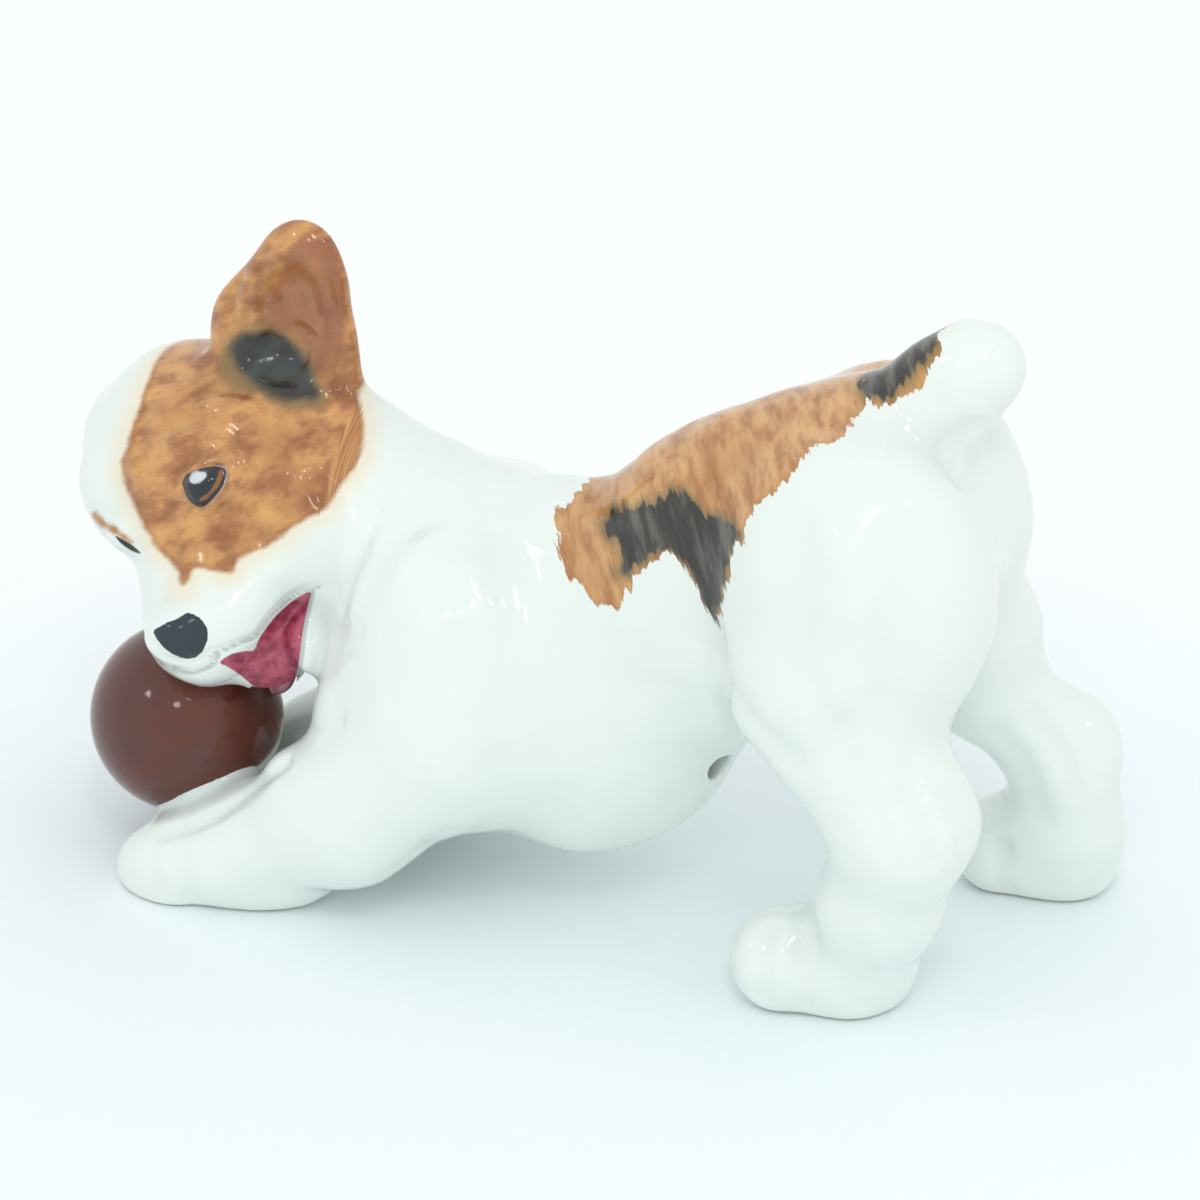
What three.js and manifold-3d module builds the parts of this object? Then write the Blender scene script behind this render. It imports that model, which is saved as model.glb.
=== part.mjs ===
// China terrier figurine in a play bow with a ball, in millimetres, +Z up.
// The dog faces -X and its left side is -Y.
import * as THREE from 'three';
import { mergeVertices } from 'three/addons/utils/BufferGeometryUtils.js';
import { edgeTable, triTable } from 'three/addons/objects/MarchingCubes.js';
import Module from 'manifold-3d';

// Joints and walls
const LUTING_GAP = 0.3;
const MOUTH_GAP = 0.5;
const WALL = 3;
const VENT_RADIUS = 0.8;
const LEG_SEAM = 7.2;
const LEG_SEAM_FRONT = 6.2;

// Mesh cells
const BODY_CELL = 2.75;
const HEAD_CELL = 2;
const SMALL_CELL = 1.7;
const CORE_CELL = 3.6;

// Trunk: half sizes of the three main masses
const CHEST_LENGTH = 17.5;
const CHEST_WIDTH = 12.5;
const CHEST_HEIGHT = 18.6;
const LOIN_LENGTH = 14;
const LOIN_WIDTH = 11;
const LOIN_HEIGHT = 14;
const RUMP_LENGTH = 13.5;
const RUMP_WIDTH = 12.5;
const RUMP_HEIGHT = 12.5;
const NECK_RADIUS = 10.6;
const BREAST_SIZE = [7, 8, 9];

// Where the middles of the trunk's masses are, and the ends of the neck
const CHEST_AT = [-1, 0, 23.4];
const LOIN_AT = [11, 0, 35.5];
const RUMP_AT = [26, 0, 43.5];
const BREAST_AT = [-17.2, -4, 19.5];
const NECK_ENDS = [[-13, 0, 31], [-30, 3.5, 36.5]];

// Where the hollow of the trunk has its three middles
const LOIN_CORE_AT = [9, 0, 31];
const RUMP_CORE_AT = [24, 0, 42.5];
const CHEST_CORE_AT = [-6, 0, 25];
const VENT_ENDS = [[12.5, -0.8, 27.5], [17.9, -5.8, 16.6]];

// Shoulders and haunches: half sizes, and how far they stand from the middle
const SHOULDER_LENGTH = 11;
const SHOULDER_WIDTH = 8;
const SHOULDER_HEIGHT = 14;
const SHOULDER_OUT = 8.5;
const HAUNCH_LENGTH = 12;
const HAUNCH_WIDTH = 9;
const HAUNCH_HEIGHT = 14;
const HAUNCH_OUT = 8.5;

// Limbs: radii from the body to the toes
const SHOULDER_RADIUS = 8.9;
const FOREARM_RADIUS = 6.8;
const WRIST_RADIUS = 5.2;
const PAW_RADIUS = 4.4;
const THIGH_RADIUS = 8.5;
const HOCK_RADIUS = 5.9;
const SHANK_RADIUS = 5;
const FOOT_RADIUS = 4.9;

// Head, ears, tail and ball
const SKULL_LENGTH = 12.6;
const SKULL_WIDTH = 12.3;
const SKULL_HEIGHT = 11.8;
const MUZZLE_RADIUS = 4.9;
const JAW_RADIUS = 3.3;
const MOUTH_SLOPE = 0.23;
const NOSE_RADIUS = 2.7;
const EAR_HEIGHT = 11.6;
const EAR_WIDTH = 6.9;
const EAR_THICKNESS = 2.8;
const EAR_BASE = [-30.7, 4.3, 49];
const EAR_TIP = [-29.1, 4.3, 55.7];
const TAIL_BASE_RADIUS = 5.3;
const TAIL_TIP_RADIUS = 3.3;
const BALL_RADIUS = 9.3;
const BALL_CENTRE = [-38.5, -5.4, 13];

// Head frame: where the skull is, and the way the face looks
const SKULL_CENTRE = [-37.05, 3.76, 34.8];
const HEAD_FORWARD = [-0.004, -0.974, -0.228];
const HEAD_LEFT = [0.836, -0.129, 0.533];
const HEAD_UP = [-0.549, -0.189, 0.814];

// Seam that joins the head to the neck
const NECK_SEAM = [-20.8, 0, 36];
const NECK_NORMAL = [-0.985, 0.12, 0.12];
const THROAT_LEVEL = 17.3;

const GLAZE = { roughness: 0.12, metalness: 0 };
const WHITE = 0xeef5f2;
const BROWN = 0x6b3d31;
const PINK = 0xb0506a;

const wasm = await Module();
wasm.setup();

// Small vector helpers on plain arrays
const plus = (a, b) => [a[0] + b[0], a[1] + b[1], a[2] + b[2]];
const minus = (a, b) => [a[0] - b[0], a[1] - b[1], a[2] - b[2]];
const times = (a, k) => [a[0] * k, a[1] * k, a[2] * k];
const dot = (a, b) => a[0] * b[0] + a[1] * b[1] + a[2] * b[2];

// A point of the head, given forward, left and up from the skull's centre
function onHead([forward, left, up]) {
  const sideways = plus(times(HEAD_FORWARD, forward), times(HEAD_LEFT, left));
  return plus(SKULL_CENTRE, plus(sideways, times(HEAD_UP, up)));
}

// Distance to an ellipsoid, with its own axes when they are given
function ellipsoid(centre, size, axes = [[1, 0, 0], [0, 1, 0], [0, 0, 1]]) {
  return (p) => {
    const d = minus(p, centre);
    const local = axes.map((axis, i) => dot(d, axis) / size[i]);
    const near = Math.hypot(...local);
    const slope = Math.hypot(...local.map((v, i) => v / size[i]));
    return slope < 1e-6 ? -Math.min(...size) : (near * (near - 1)) / slope;
  };
}

// Distance to a round bar whose radius runs from one end to the other
function taper(from, to, radiusFrom, radiusTo) {
  const axis = minus(to, from);
  const length2 = dot(axis, axis);
  return (p) => {
    const d = minus(p, from);
    const along = Math.min(1, Math.max(0, dot(d, axis) / length2));
    const off = minus(d, times(axis, along));
    return Math.hypot(...off) - (radiusFrom + (radiusTo - radiusFrom) * along);
  };
}

// Soft join of two distances, k millimetres wide
function soften(a, b, k) {
  const h = Math.max(k - Math.abs(a - b), 0) / k;
  return Math.min(a, b) - (h * h * k) / 4;
}

// Soft join of many shapes, one after another
function blend(k, shapes) {
  return (p) => shapes.map((shape) => shape(p)).reduce((a, b) => soften(a, b, k));
}

// A shape with another scooped out of it
function scoop(k, shape, tool) {
  return (p) => -soften(-shape(p), tool(p), k);
}

// A chain of round bars through stations of [x, y, z, radius]
function limb(stations) {
  const bars = [];
  for (let i = 0; i + 1 < stations.length; i += 1) {
    const [a, b] = [stations[i], stations[i + 1]];
    bars.push(taper(a.slice(0, 3), b.slice(0, 3), a[3], b[3]));
  }
  return blend(2, bars);
}

// Trunk masses
const chest = ellipsoid(CHEST_AT, [CHEST_LENGTH, CHEST_WIDTH, CHEST_HEIGHT]);
const loin = ellipsoid(LOIN_AT, [LOIN_LENGTH, LOIN_WIDTH, LOIN_HEIGHT]);
const rump = ellipsoid(RUMP_AT, [RUMP_LENGTH, RUMP_WIDTH, RUMP_HEIGHT]);
const neck = taper(...NECK_ENDS, NECK_RADIUS, NECK_RADIUS - 0.6);
const breast = ellipsoid(BREAST_AT, BREAST_SIZE);
const trunkMass = blend(6, [blend(3, [chest, breast]), loin, rump, neck]);

// Foreleg: the shoulder, then stations from the elbow to the toes
const foreleg = (side, shoulder, reach) => blend(3, [
  ellipsoid([-9, side * SHOULDER_OUT, 24], [SHOULDER_LENGTH, SHOULDER_WIDTH, SHOULDER_HEIGHT]),
  limb([
    [-9, side * shoulder, 20.8, SHOULDER_RADIUS],
    [-19, reach[0], 10.7, FOREARM_RADIUS],
    [-29, reach[1], 4.7, WRIST_RADIUS],
    [-36.3, reach[2], 3.4, PAW_RADIUS],
  ]),
]);

// Hind leg: the haunch, then stations from the thigh to the toes
const hindLeg = (haunchX, side, stations) => blend(3, [
  ellipsoid([haunchX, side * HAUNCH_OUT, 41], [HAUNCH_LENGTH, HAUNCH_WIDTH, HAUNCH_HEIGHT]),
  limb(stations),
]);

const leftForeleg = foreleg(-1, 9.5, [-12, -13.1, -15.6]);
const rightForeleg = foreleg(1, 9.5, [9.5, 6.8, 4.7]);
const leftHindLeg = hindLeg(29, -1, [
  [27, -10.5, 33, THIGH_RADIUS],
  [35.2, -13, 22, HOCK_RADIUS],
  [32.6, -11.2, 11.7, SHANK_RADIUS],
  [30, -8.8, 4, FOOT_RADIUS],
  [23.9, -11.4, 3.9, FOOT_RADIUS],
]);
const rightHindLeg = hindLeg(27.5, 1, [
  [28, 10.5, 33, THIGH_RADIUS - 0.5],
  [34.6, 12, 23.6, HOCK_RADIUS - 1.1],
  [42.6, 14, 16, SHANK_RADIUS - 0.3],
  [43, 14.8, 8, SHANK_RADIUS - 0.3],
  [42.8, 16.4, 3.9, FOOT_RADIUS - 0.1],
  [37.2, 14.6, 3.8, FOOT_RADIUS - 0.1],
]);
const tailMass = limb([
  [28, 0, 51.5, TAIL_BASE_RADIUS],
  [33.5, 0.8, 57.3, (TAIL_BASE_RADIUS + TAIL_TIP_RADIUS) / 2],
  [36, 1, 60, TAIL_TIP_RADIUS],
  [37.5, 1, 60.7, TAIL_TIP_RADIUS - 0.9],
]);
const bodyMass = blend(3.5, [
  trunkMass, leftForeleg, rightForeleg, leftHindLeg, rightHindLeg, tailMass,
]);

// Head masses, in the head's own frame
const headAxes = [HEAD_FORWARD, HEAD_LEFT, HEAD_UP];
const skull = ellipsoid(onHead([-1, 0, 0]), [SKULL_LENGTH, SKULL_WIDTH, SKULL_HEIGHT], headAxes);
const crown = ellipsoid(onHead([-3, -4.5, 6.2]), [8, 7.5, 6.4], headAxes);
const cheek = (side) => ellipsoid(onHead([2, side * 5.5, -6]), [8, 6.5, 6.5], headAxes);
const muzzle = taper(onHead([5, 0, -4]), onHead([15.8, 0, -6.2]), 8.4, MUZZLE_RADIUS);
const nose = ellipsoid(onHead([18.6, 0, -4.2]), [NOSE_RADIUS, NOSE_RADIUS + 0.4, NOSE_RADIUS], headAxes);
const nearEye = ellipsoid(onHead([9.7, 6.1, 4.3]), [1.5, 2.2, 1.9], headAxes);
const farEye = ellipsoid(onHead([10.2, -5.5, 3.1]), [1.2, 1.9, 1.6], headAxes);
const lip = (side) => ellipsoid(onHead([10.5, side * 4, -6.6]), [6.5, 4.6, 4], headAxes);
const farLip = ellipsoid(onHead([15, -3.4, -8]), [3.2, 3, 2.8], headAxes);
const faceMass = blend(4, [skull, crown, cheek(1), cheek(-1), lip(1), lip(-1), muzzle, neck]);
const headMass = blend(1.2, [faceMass, farLip, nose, nearEye, farEye]);

// Left ear stands up, and its dished side looks at -Y
const earLean = [[0.985, 0, -0.17], [0, 1, 0], [0.17, 0, 0.985]];
const earShell = blend(3, [
  ellipsoid(EAR_BASE, [EAR_WIDTH, EAR_THICKNESS, EAR_HEIGHT - 3], earLean),
  ellipsoid(EAR_TIP, [EAR_WIDTH - 2.8, EAR_THICKNESS - 0.4, EAR_HEIGHT - 5.1], earLean),
]);
const earDish = blend(2, [
  ellipsoid(plus(EAR_BASE, [0.4, -3.2, 2]), [EAR_WIDTH - 2.4, EAR_THICKNESS - 0.3, EAR_HEIGHT - 6], earLean),
  ellipsoid(plus(EAR_TIP, [0, -2.9, -1]), [EAR_WIDTH - 4.2, EAR_THICKNESS - 0.6, EAR_HEIGHT - 7], earLean),
]);
const earMass = scoop(1, earShell, earDish);

// Right ear is folded down against the head
const flapMass = ellipsoid(onHead([-2.5, -10, 3.6]), [6.8, 3.4, 7.6], headAxes);
const crownMass = blend(2.5, [headMass, earMass, flapMass]);

// Lower jaw: the chin and a full lower lip, below the line of the mouth
const chinMass = blend(3, [
  ellipsoid(onHead([14.8, -3, -9.6]), [3, 3, 2.6], headAxes),
  taper(onHead([3, 1, -10.5]), onHead([15.8, 0, -7.2]), 6, MUZZLE_RADIUS),
  taper(onHead([5, 2.5, -12]), onHead([12.5, 1.5, -12.6]), 5.2, JAW_RADIUS + 0.7),
]);
const MOUTH_FRONT = onHead([19.8, 0, -7.6]);
const MOUTH_DOWN = minus(times(HEAD_FORWARD, MOUTH_SLOPE), HEAD_UP);

// Tongue, flat and turned to the open side of the mouth
const tongueAxes = [[0.313, -0.817, 0.485], [0.55, 0.57, 0.61], [-0.775, 0.085, 0.627]];
const TONGUE_CENTRE = onHead([13.2, 3.8, -11.4]);
const TONGUE_SIZE = [1.7, 5.4, 3.7];

// Corners of a cell, and the two corners at the ends of each of its edges
const CORNERS = [
  [0, 0, 0], [1, 0, 0], [1, 1, 0], [0, 1, 0], [0, 0, 1], [1, 0, 1], [1, 1, 1], [0, 1, 1],
];
const CELL_EDGES = [
  [0, 1], [1, 2], [3, 2], [0, 3], [4, 5], [5, 6], [7, 6], [4, 7], [0, 4], [1, 5], [2, 6], [3, 7],
];

// A point moved onto a shape's surface, no further than a given reach
function settle(shape, start, reach) {
  let point = start;
  for (let turn = 0; turn < 3; turn += 1) {
    const here = shape(point);
    const slope = [0, 1, 2].map((n) => {
      const aside = point.slice();
      aside[n] += 0.02;
      return (shape(aside) - here) / 0.02;
    });
    const steep = Math.max(dot(slope, slope), 0.1);
    point = minus(point, times(slope, here / steep));
  }
  const move = minus(point, start);
  const far = Math.hypot(...move);
  return far > reach ? plus(start, times(move, reach / far)) : point;
}

// Closed mesh of a shape inside a box, as a solid
function mesh(shape, low, high, cell) {
  const count = low.map((v, i) => Math.ceil((high[i] - v) / cell) + 1);
  const index = (i, j, k) => (k * count[1] + j) * count[0] + i;
  const value = new Float64Array(count[0] * count[1] * count[2]);
  for (let k = 0; k < count[2]; k += 1) {
    for (let j = 0; j < count[1]; j += 1) {
      for (let i = 0; i < count[0]; i += 1) {
        const rim = [i, j, k].some((v, n) => v === 0 || v === count[n] - 1);
        const v = shape([low[0] + i * cell, low[1] + j * cell, low[2] + k * cell]);
        value[index(i, j, k)] = rim ? Math.max(v, 0.5 * cell) : v;
      }
    }
  }
  const points = [];
  const faces = [];
  const made = new Map();
  const crossing = (i, j, k, edge) => {
    const ends = CELL_EDGES[edge].map((c) => CORNERS[c].map((v, n) => v + [i, j, k][n]));
    const keys = ends.map((end) => index(...end));
    const key = keys[0] * value.length + keys[1];
    if (!made.has(key)) {
      const [a, b] = keys.map((n) => value[n]);
      const t = Math.min(0.93, Math.max(0.07, a / (a - b)));
      const start = ends[0].map((v, n) => low[n] + (v + (ends[1][n] - v) * t) * cell);
      const capped = ends.some((end) => end.some((v, n) => v === 0 || v === count[n] - 1));
      made.set(key, points.length / 3);
      points.push(...(capped ? start : settle(shape, start, 0.25 * cell)));
    }
    return made.get(key);
  };
  for (let k = 0; k + 1 < count[2]; k += 1) {
    for (let j = 0; j + 1 < count[1]; j += 1) {
      for (let i = 0; i + 1 < count[0]; i += 1) {
        let kind = 0;
        CORNERS.forEach((c, n) => {
          if (value[index(i + c[0], j + c[1], k + c[2])] < 0) kind |= 1 << n;
        });
        if (edgeTable[kind] === 0) continue;
        for (let n = kind * 16; triTable[n] !== -1; n += 1) {
          faces.push(crossing(i, j, k, triTable[n]));
        }
      }
    }
  }
  return solid(points, faces);
}

// Solid from corner points and triangles, turned to face out
function solid(points, faces) {
  const corner = (n) => [points[3 * n], points[3 * n + 1], points[3 * n + 2]];
  let volume = 0;
  for (let n = 0; n < faces.length; n += 3) {
    const [a, b, c] = [corner(faces[n]), corner(faces[n + 1]), corner(faces[n + 2])];
    volume += a[0] * (b[1] * c[2] - b[2] * c[1]) - a[1] * (b[0] * c[2] - b[2] * c[0])
      + a[2] * (b[0] * c[1] - b[1] * c[0]);
  }
  const triVerts = Uint32Array.from(faces);
  if (volume < 0) {
    for (let n = 0; n < triVerts.length; n += 3) {
      [triVerts[n + 1], triVerts[n + 2]] = [triVerts[n + 2], triVerts[n + 1]];
    }
  }
  const vertProperties = Float32Array.from(points);
  return new wasm.Manifold(new wasm.Mesh({ numProp: 3, vertProperties, triVerts }));
}

// Solid from a three.js geometry
function fromGeometry(geometry) {
  const bare = geometry.clone();
  ['normal', 'uv'].forEach((name) => bare.deleteAttribute(name));
  const merged = mergeVertices(bare, 1e-4);
  const faces = [];
  const at = merged.index.array;
  for (let n = 0; n < at.length; n += 3) {
    const [a, b, c] = [at[n], at[n + 1], at[n + 2]];
    if (a !== b && b !== c && c !== a) faces.push(a, b, c);
  }
  return solid(Array.from(merged.attributes.position.array), faces);
}

// Box between two corners
function box(low, high) {
  const size = minus(high, low);
  const geometry = new THREE.BoxGeometry(...size);
  geometry.translate(...plus(low, times(size, 0.5)));
  return fromGeometry(geometry);
}

// Slab of space in front of a plane
function beyond(point, normal, reach) {
  const geometry = new THREE.BoxGeometry(reach, reach, reach);
  geometry.translate(0, 0, reach / 2);
  const turn = new THREE.Quaternion();
  const way = new THREE.Vector3(...normal).normalize();
  turn.setFromUnitVectors(new THREE.Vector3(0, 0, 1), way);
  geometry.applyQuaternion(turn);
  geometry.translate(...point);
  return fromGeometry(geometry);
}

function sphere(centre, radius, across, down) {
  const geometry = new THREE.SphereGeometry(radius, across, down);
  geometry.rotateX(Math.PI / 2);
  geometry.translate(...centre);
  return fromGeometry(geometry);
}

// Egg-shaped solid with its own axes
function egg(centre, size, axes, across, down) {
  const geometry = new THREE.SphereGeometry(1, across, down);
  const columns = axes.map((axis, n) => new THREE.Vector3(...times(axis, size[n])));
  geometry.applyMatrix4(new THREE.Matrix4().makeBasis(...columns));
  geometry.translate(...centre);
  return fromGeometry(geometry);
}

// Outline around two circles in the XZ plane, drawn with short straight sides
function twoCircles(top, foot, grow) {
  const [dx, dz] = [foot[0] - top[0], foot[1] - top[1]];
  const span = Math.hypot(dx, dz);
  const [r1, r2] = [top[2] + grow, foot[2] + grow];
  const heading = Math.atan2(dz, dx);
  const lean = Math.acos((r1 - r2) / span);
  const points = [];
  const arc = (circle, radius, start, end, steps) => {
    for (let n = 0; n <= steps; n += 1) {
      const angle = start + ((end - start) * n) / steps;
      points.push(new THREE.Vector2(
        circle[0] + radius * Math.cos(angle), circle[1] + radius * Math.sin(angle)));
    }
  };
  arc(top, r1, heading + lean, heading + 2 * Math.PI - lean, 20);
  arc(foot, r2, heading - lean, heading + lean, 10);
  return new THREE.Shape(points);
}

// Block that a leg is cut from: an outline seen from the side, outward of a seam
function legBlock(top, foot, side, seam, turn, grow) {
  const outline = twoCircles(top, foot, grow);
  const geometry = new THREE.ExtrudeGeometry(outline, { depth: 40, bevelEnabled: false, curveSegments: 1 });
  geometry.rotateX(Math.PI / 2);
  if (side > 0) geometry.translate(0, 40, 0);
  geometry.translate(0, side * (seam - grow), 0);
  geometry.translate(-top[0], 0, 0);
  geometry.rotateZ(turn);
  geometry.translate(top[0], 0, 0);
  const block = fromGeometry(geometry);
  if (top[0] < 0) return block;
  const inner = [FOOT_ROOM[0] - grow, side < 0 ? -30 : 1 - grow, -5];
  const outer = [60, side < 0 ? -1 + grow : 30, FOOT_ROOM[1] + grow];
  return block.add(box(inner, outer));
}

// Hollow of a shoulder or haunch, open at its seam
function legCore(centre, side, seam, size) {
  const geometry = new THREE.SphereGeometry(1, 14, 9);
  geometry.scale(...size);
  geometry.translate(centre[0], side * seam, centre[1]);
  return fromGeometry(geometry);
}

// Behind this x and under this z, all of the figure is hind leg
const FOOT_ROOM = [19, 16];
const LEG_BLOCKS = {
  left_foreleg: [[-8, 22, 14.5], [-31, 4, 11], -1, LEG_SEAM_FRONT, 0],
  right_foreleg: [[-8, 22, 14.5], [-31, 4, 11], 1, LEG_SEAM_FRONT, 0.2],
  left_hind_leg: [[29, 41, 14], [29, 5, 12], -1, LEG_SEAM, 0],
  right_hind_leg: [[27.5, 41, 14], [42, 5, 12], 1, LEG_SEAM, 0],
};
const SHOULDER_CORE = [
  SHOULDER_LENGTH - WALL - 0.5,
  SHOULDER_OUT + SHOULDER_WIDTH - LEG_SEAM_FRONT - WALL,
  SHOULDER_HEIGHT - WALL - 1,
];
const HAUNCH_CORE = [
  HAUNCH_LENGTH - WALL - 0.5,
  HAUNCH_OUT + HAUNCH_WIDTH - LEG_SEAM - WALL,
  HAUNCH_HEIGHT - WALL - 0.5,
];
const floor = box([-90, -60, -30], [90, 60, 0]);

// The trunk is cast hollow, so its cores stay a wall inside every seam
function trunkCore() {
  const cores = blend(4, [
    ellipsoid(LOIN_CORE_AT, [CHEST_LENGTH - WALL - 5, LEG_SEAM_FRONT - WALL, LOIN_HEIGHT - WALL - 2]),
    ellipsoid(RUMP_CORE_AT, [RUMP_LENGTH - WALL - 2, LEG_SEAM - WALL, RUMP_HEIGHT - WALL - 1.5]),
    ellipsoid(CHEST_CORE_AT, [CHEST_LENGTH - WALL - 3, LEG_SEAM_FRONT - WALL, CHEST_HEIGHT - WALL - 4]),
  ]);
  return mesh(cores, [-20, -12, 8], [38, 12, 56], CORE_CELL);
}

// Vent under the belly, from the core to the outside
function ventHole() {
  const [inside, outside] = VENT_ENDS;
  const way = minus(outside, inside);
  const geometry = new THREE.CylinderGeometry(VENT_RADIUS, VENT_RADIUS, Math.hypot(...way), 16);
  const turn = new THREE.Quaternion();
  const heading = new THREE.Vector3(...way).normalize();
  turn.setFromUnitVectors(new THREE.Vector3(0, 1, 0), heading);
  geometry.applyQuaternion(turn);
  geometry.translate(...times(plus(inside, outside), 0.5));
  return fromGeometry(geometry);
}

function build() {
  const parts = {};
  const seamHead = beyond(NECK_SEAM, NECK_NORMAL, 90);
  const seamTrunk = beyond(minus(NECK_SEAM, times(NECK_NORMAL, LUTING_GAP)), NECK_NORMAL, 90);
  const earBlock = (grow) => box([-46, -8, 46.6 - grow], [-14, 16, 80]);
  const flapBlock = (grow) => beyond(onHead([-1, -10.6 + grow, 0]), times(HEAD_LEFT, -1), 40)
    .intersect(beyond(onHead([0, 0, -3 - grow]), HEAD_UP, 60));
  const mouthBlock = (grow) => beyond(
    minus(MOUTH_FRONT, times(MOUTH_DOWN, grow)), MOUTH_DOWN, 60);
  const tailWay = [0.552, 0, 0.834];
  const tailBlock = (grow) => beyond(minus([29.8, 0, 53], times(tailWay, grow)), tailWay, 40);
  const headRoom = seamTrunk.intersect(box([-90, -60, THROAT_LEVEL], [0, 60, 90]));
  const ballRoom = sphere(BALL_CENTRE, BALL_RADIUS + LUTING_GAP, 28, 18);

  parts.ball = sphere(BALL_CENTRE, BALL_RADIUS, 28, 18);

  // Legs
  const bodyRaw = mesh(bodyMass, [-46, -25, -5], [55, 25, 70], BODY_CELL).subtract(floor);
  let trunk = bodyRaw;
  for (const [name, block] of Object.entries(LEG_BLOCKS)) {
    const [top, , side, seam] = block;
    const core = legCore(top, side, seam, top[0] < 0 ? SHOULDER_CORE : HAUNCH_CORE);
    parts[name] = bodyRaw.intersect(legBlock(...block, 0)).subtract(headRoom)
      .subtract(ballRoom).subtract(core);
    trunk = trunk.subtract(legBlock(...block, LUTING_GAP));
  }

  // Tail
  parts.tail = trunk.intersect(tailBlock(0));
  trunk = trunk.subtract(tailBlock(LUTING_GAP));

  // Trunk
  parts.body_casting = trunk.subtract(seamTrunk).subtract(trunkCore()).subtract(ventHole());

  // Head with its ears, jaw and tongue
  const headLow = [-56, -22, 12];
  const headHigh = [-12, 24, 68];
  const crownRaw = mesh(crownMass, headLow, headHigh, HEAD_CELL);
  const jawLow = onHead([8, 0, -12]).map((v) => v - 16);
  const jawHigh = onHead([8, 0, -12]).map((v) => v + 16);
  const jawRoom = mesh((p) => chinMass(p) - MOUTH_GAP, jawLow, jawHigh, SMALL_CELL)
    .intersect(mouthBlock(MOUTH_GAP));
  const tongueAt = (grow) => egg(
    TONGUE_CENTRE, TONGUE_SIZE.map((v) => v + grow), tongueAxes, 18, 12);
  const skullCore = [SKULL_LENGTH, SKULL_WIDTH, SKULL_HEIGHT].map((v) => v - WALL - 1);
  const headCore = mesh(blend(3, [
    ellipsoid(SKULL_CENTRE, skullCore, headAxes),
    taper(SKULL_CENTRE, [-18, 1, 34], 5, 5),
  ]), headLow, headHigh, CORE_CELL);
  parts.left_ear = crownRaw.intersect(earBlock(0));
  parts.right_ear = crownRaw.intersect(flapBlock(0));
  parts.head_casting = crownRaw.intersect(seamHead).subtract(earBlock(LUTING_GAP))
    .subtract(flapBlock(LUTING_GAP)).subtract(jawRoom).subtract(tongueAt(MOUTH_GAP))
    .subtract(headCore).subtract(ballRoom);
  parts.lower_jaw = mesh(chinMass, jawLow, jawHigh, SMALL_CELL).intersect(mouthBlock(0))
    .subtract(tongueAt(MOUTH_GAP)).subtract(ballRoom);
  parts.tongue = tongueAt(0).subtract(ballRoom);
  return parts;
}

// Named mesh of a solid
function toMesh(name, body, colour) {
  const { vertProperties, triVerts, numProp } = body.getMesh();
  const geometry = new THREE.BufferGeometry();
  const position = new Float32Array((vertProperties.length / numProp) * 3);
  for (let n = 0; n < position.length / 3; n += 1) {
    for (let i = 0; i < 3; i += 1) position[3 * n + i] = vertProperties[n * numProp + i];
  }
  geometry.setAttribute('position', new THREE.BufferAttribute(position, 3));
  geometry.setIndex(new THREE.BufferAttribute(Uint32Array.from(triVerts), 1));
  geometry.computeVertexNormals();
  const material = new THREE.MeshStandardMaterial({ color: colour, ...GLAZE });
  const item = new THREE.Mesh(geometry, material);
  item.name = name;
  return item;
}

const group = new THREE.Group();
group.name = 'china_terrier_with_ball';
const colours = { ball: BROWN, tongue: PINK };
for (const [name, body] of Object.entries(build())) {
  group.add(toMesh(name, body, colours[name] ?? WHITE));
}

// The origin is the middle of the bounding box, at the floor
const bounds = new THREE.Box3().setFromObject(group);
const middle = bounds.getCenter(new THREE.Vector3());
for (const item of group.children) {
  item.geometry.translate(-middle.x, -middle.y, -bounds.min.z);
}

export default group;
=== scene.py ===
"""Glazed china terrier in a play bow with a chocolate brown ball, painted by hand.

The sculpting works in millimetres in the modeller's own frame: +Z up, the dog faces -X,
its left side is -Y. The model is in metres in the row's frame, which is the same frame
moved sideways, and Bench works that move out from the ball.
"""
import logging
from abc import ABC, abstractmethod
from dataclasses import dataclass, field
from enum import Enum
from typing import Callable, Sequence

import bmesh
import bpy
import numpy as np
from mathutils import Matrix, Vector


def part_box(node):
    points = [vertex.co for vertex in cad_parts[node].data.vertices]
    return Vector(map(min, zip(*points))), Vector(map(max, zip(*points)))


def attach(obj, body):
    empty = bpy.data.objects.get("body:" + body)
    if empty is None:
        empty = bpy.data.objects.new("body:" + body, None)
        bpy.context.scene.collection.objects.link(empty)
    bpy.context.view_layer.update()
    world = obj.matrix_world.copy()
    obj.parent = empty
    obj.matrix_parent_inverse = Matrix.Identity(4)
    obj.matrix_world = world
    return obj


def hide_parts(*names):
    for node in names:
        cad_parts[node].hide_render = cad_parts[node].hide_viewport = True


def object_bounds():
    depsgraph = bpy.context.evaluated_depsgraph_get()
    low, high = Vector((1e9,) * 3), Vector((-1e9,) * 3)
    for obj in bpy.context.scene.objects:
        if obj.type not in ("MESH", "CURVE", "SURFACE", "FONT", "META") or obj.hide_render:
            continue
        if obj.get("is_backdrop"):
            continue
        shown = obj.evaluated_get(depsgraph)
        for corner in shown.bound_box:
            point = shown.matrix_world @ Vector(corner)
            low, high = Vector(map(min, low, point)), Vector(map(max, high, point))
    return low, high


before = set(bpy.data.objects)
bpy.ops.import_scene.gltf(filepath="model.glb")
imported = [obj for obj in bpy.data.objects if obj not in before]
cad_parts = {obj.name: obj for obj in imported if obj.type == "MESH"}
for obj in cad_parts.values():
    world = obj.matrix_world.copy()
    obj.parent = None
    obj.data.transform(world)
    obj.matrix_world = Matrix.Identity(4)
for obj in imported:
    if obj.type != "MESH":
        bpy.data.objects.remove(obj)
CAD_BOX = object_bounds()

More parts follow.
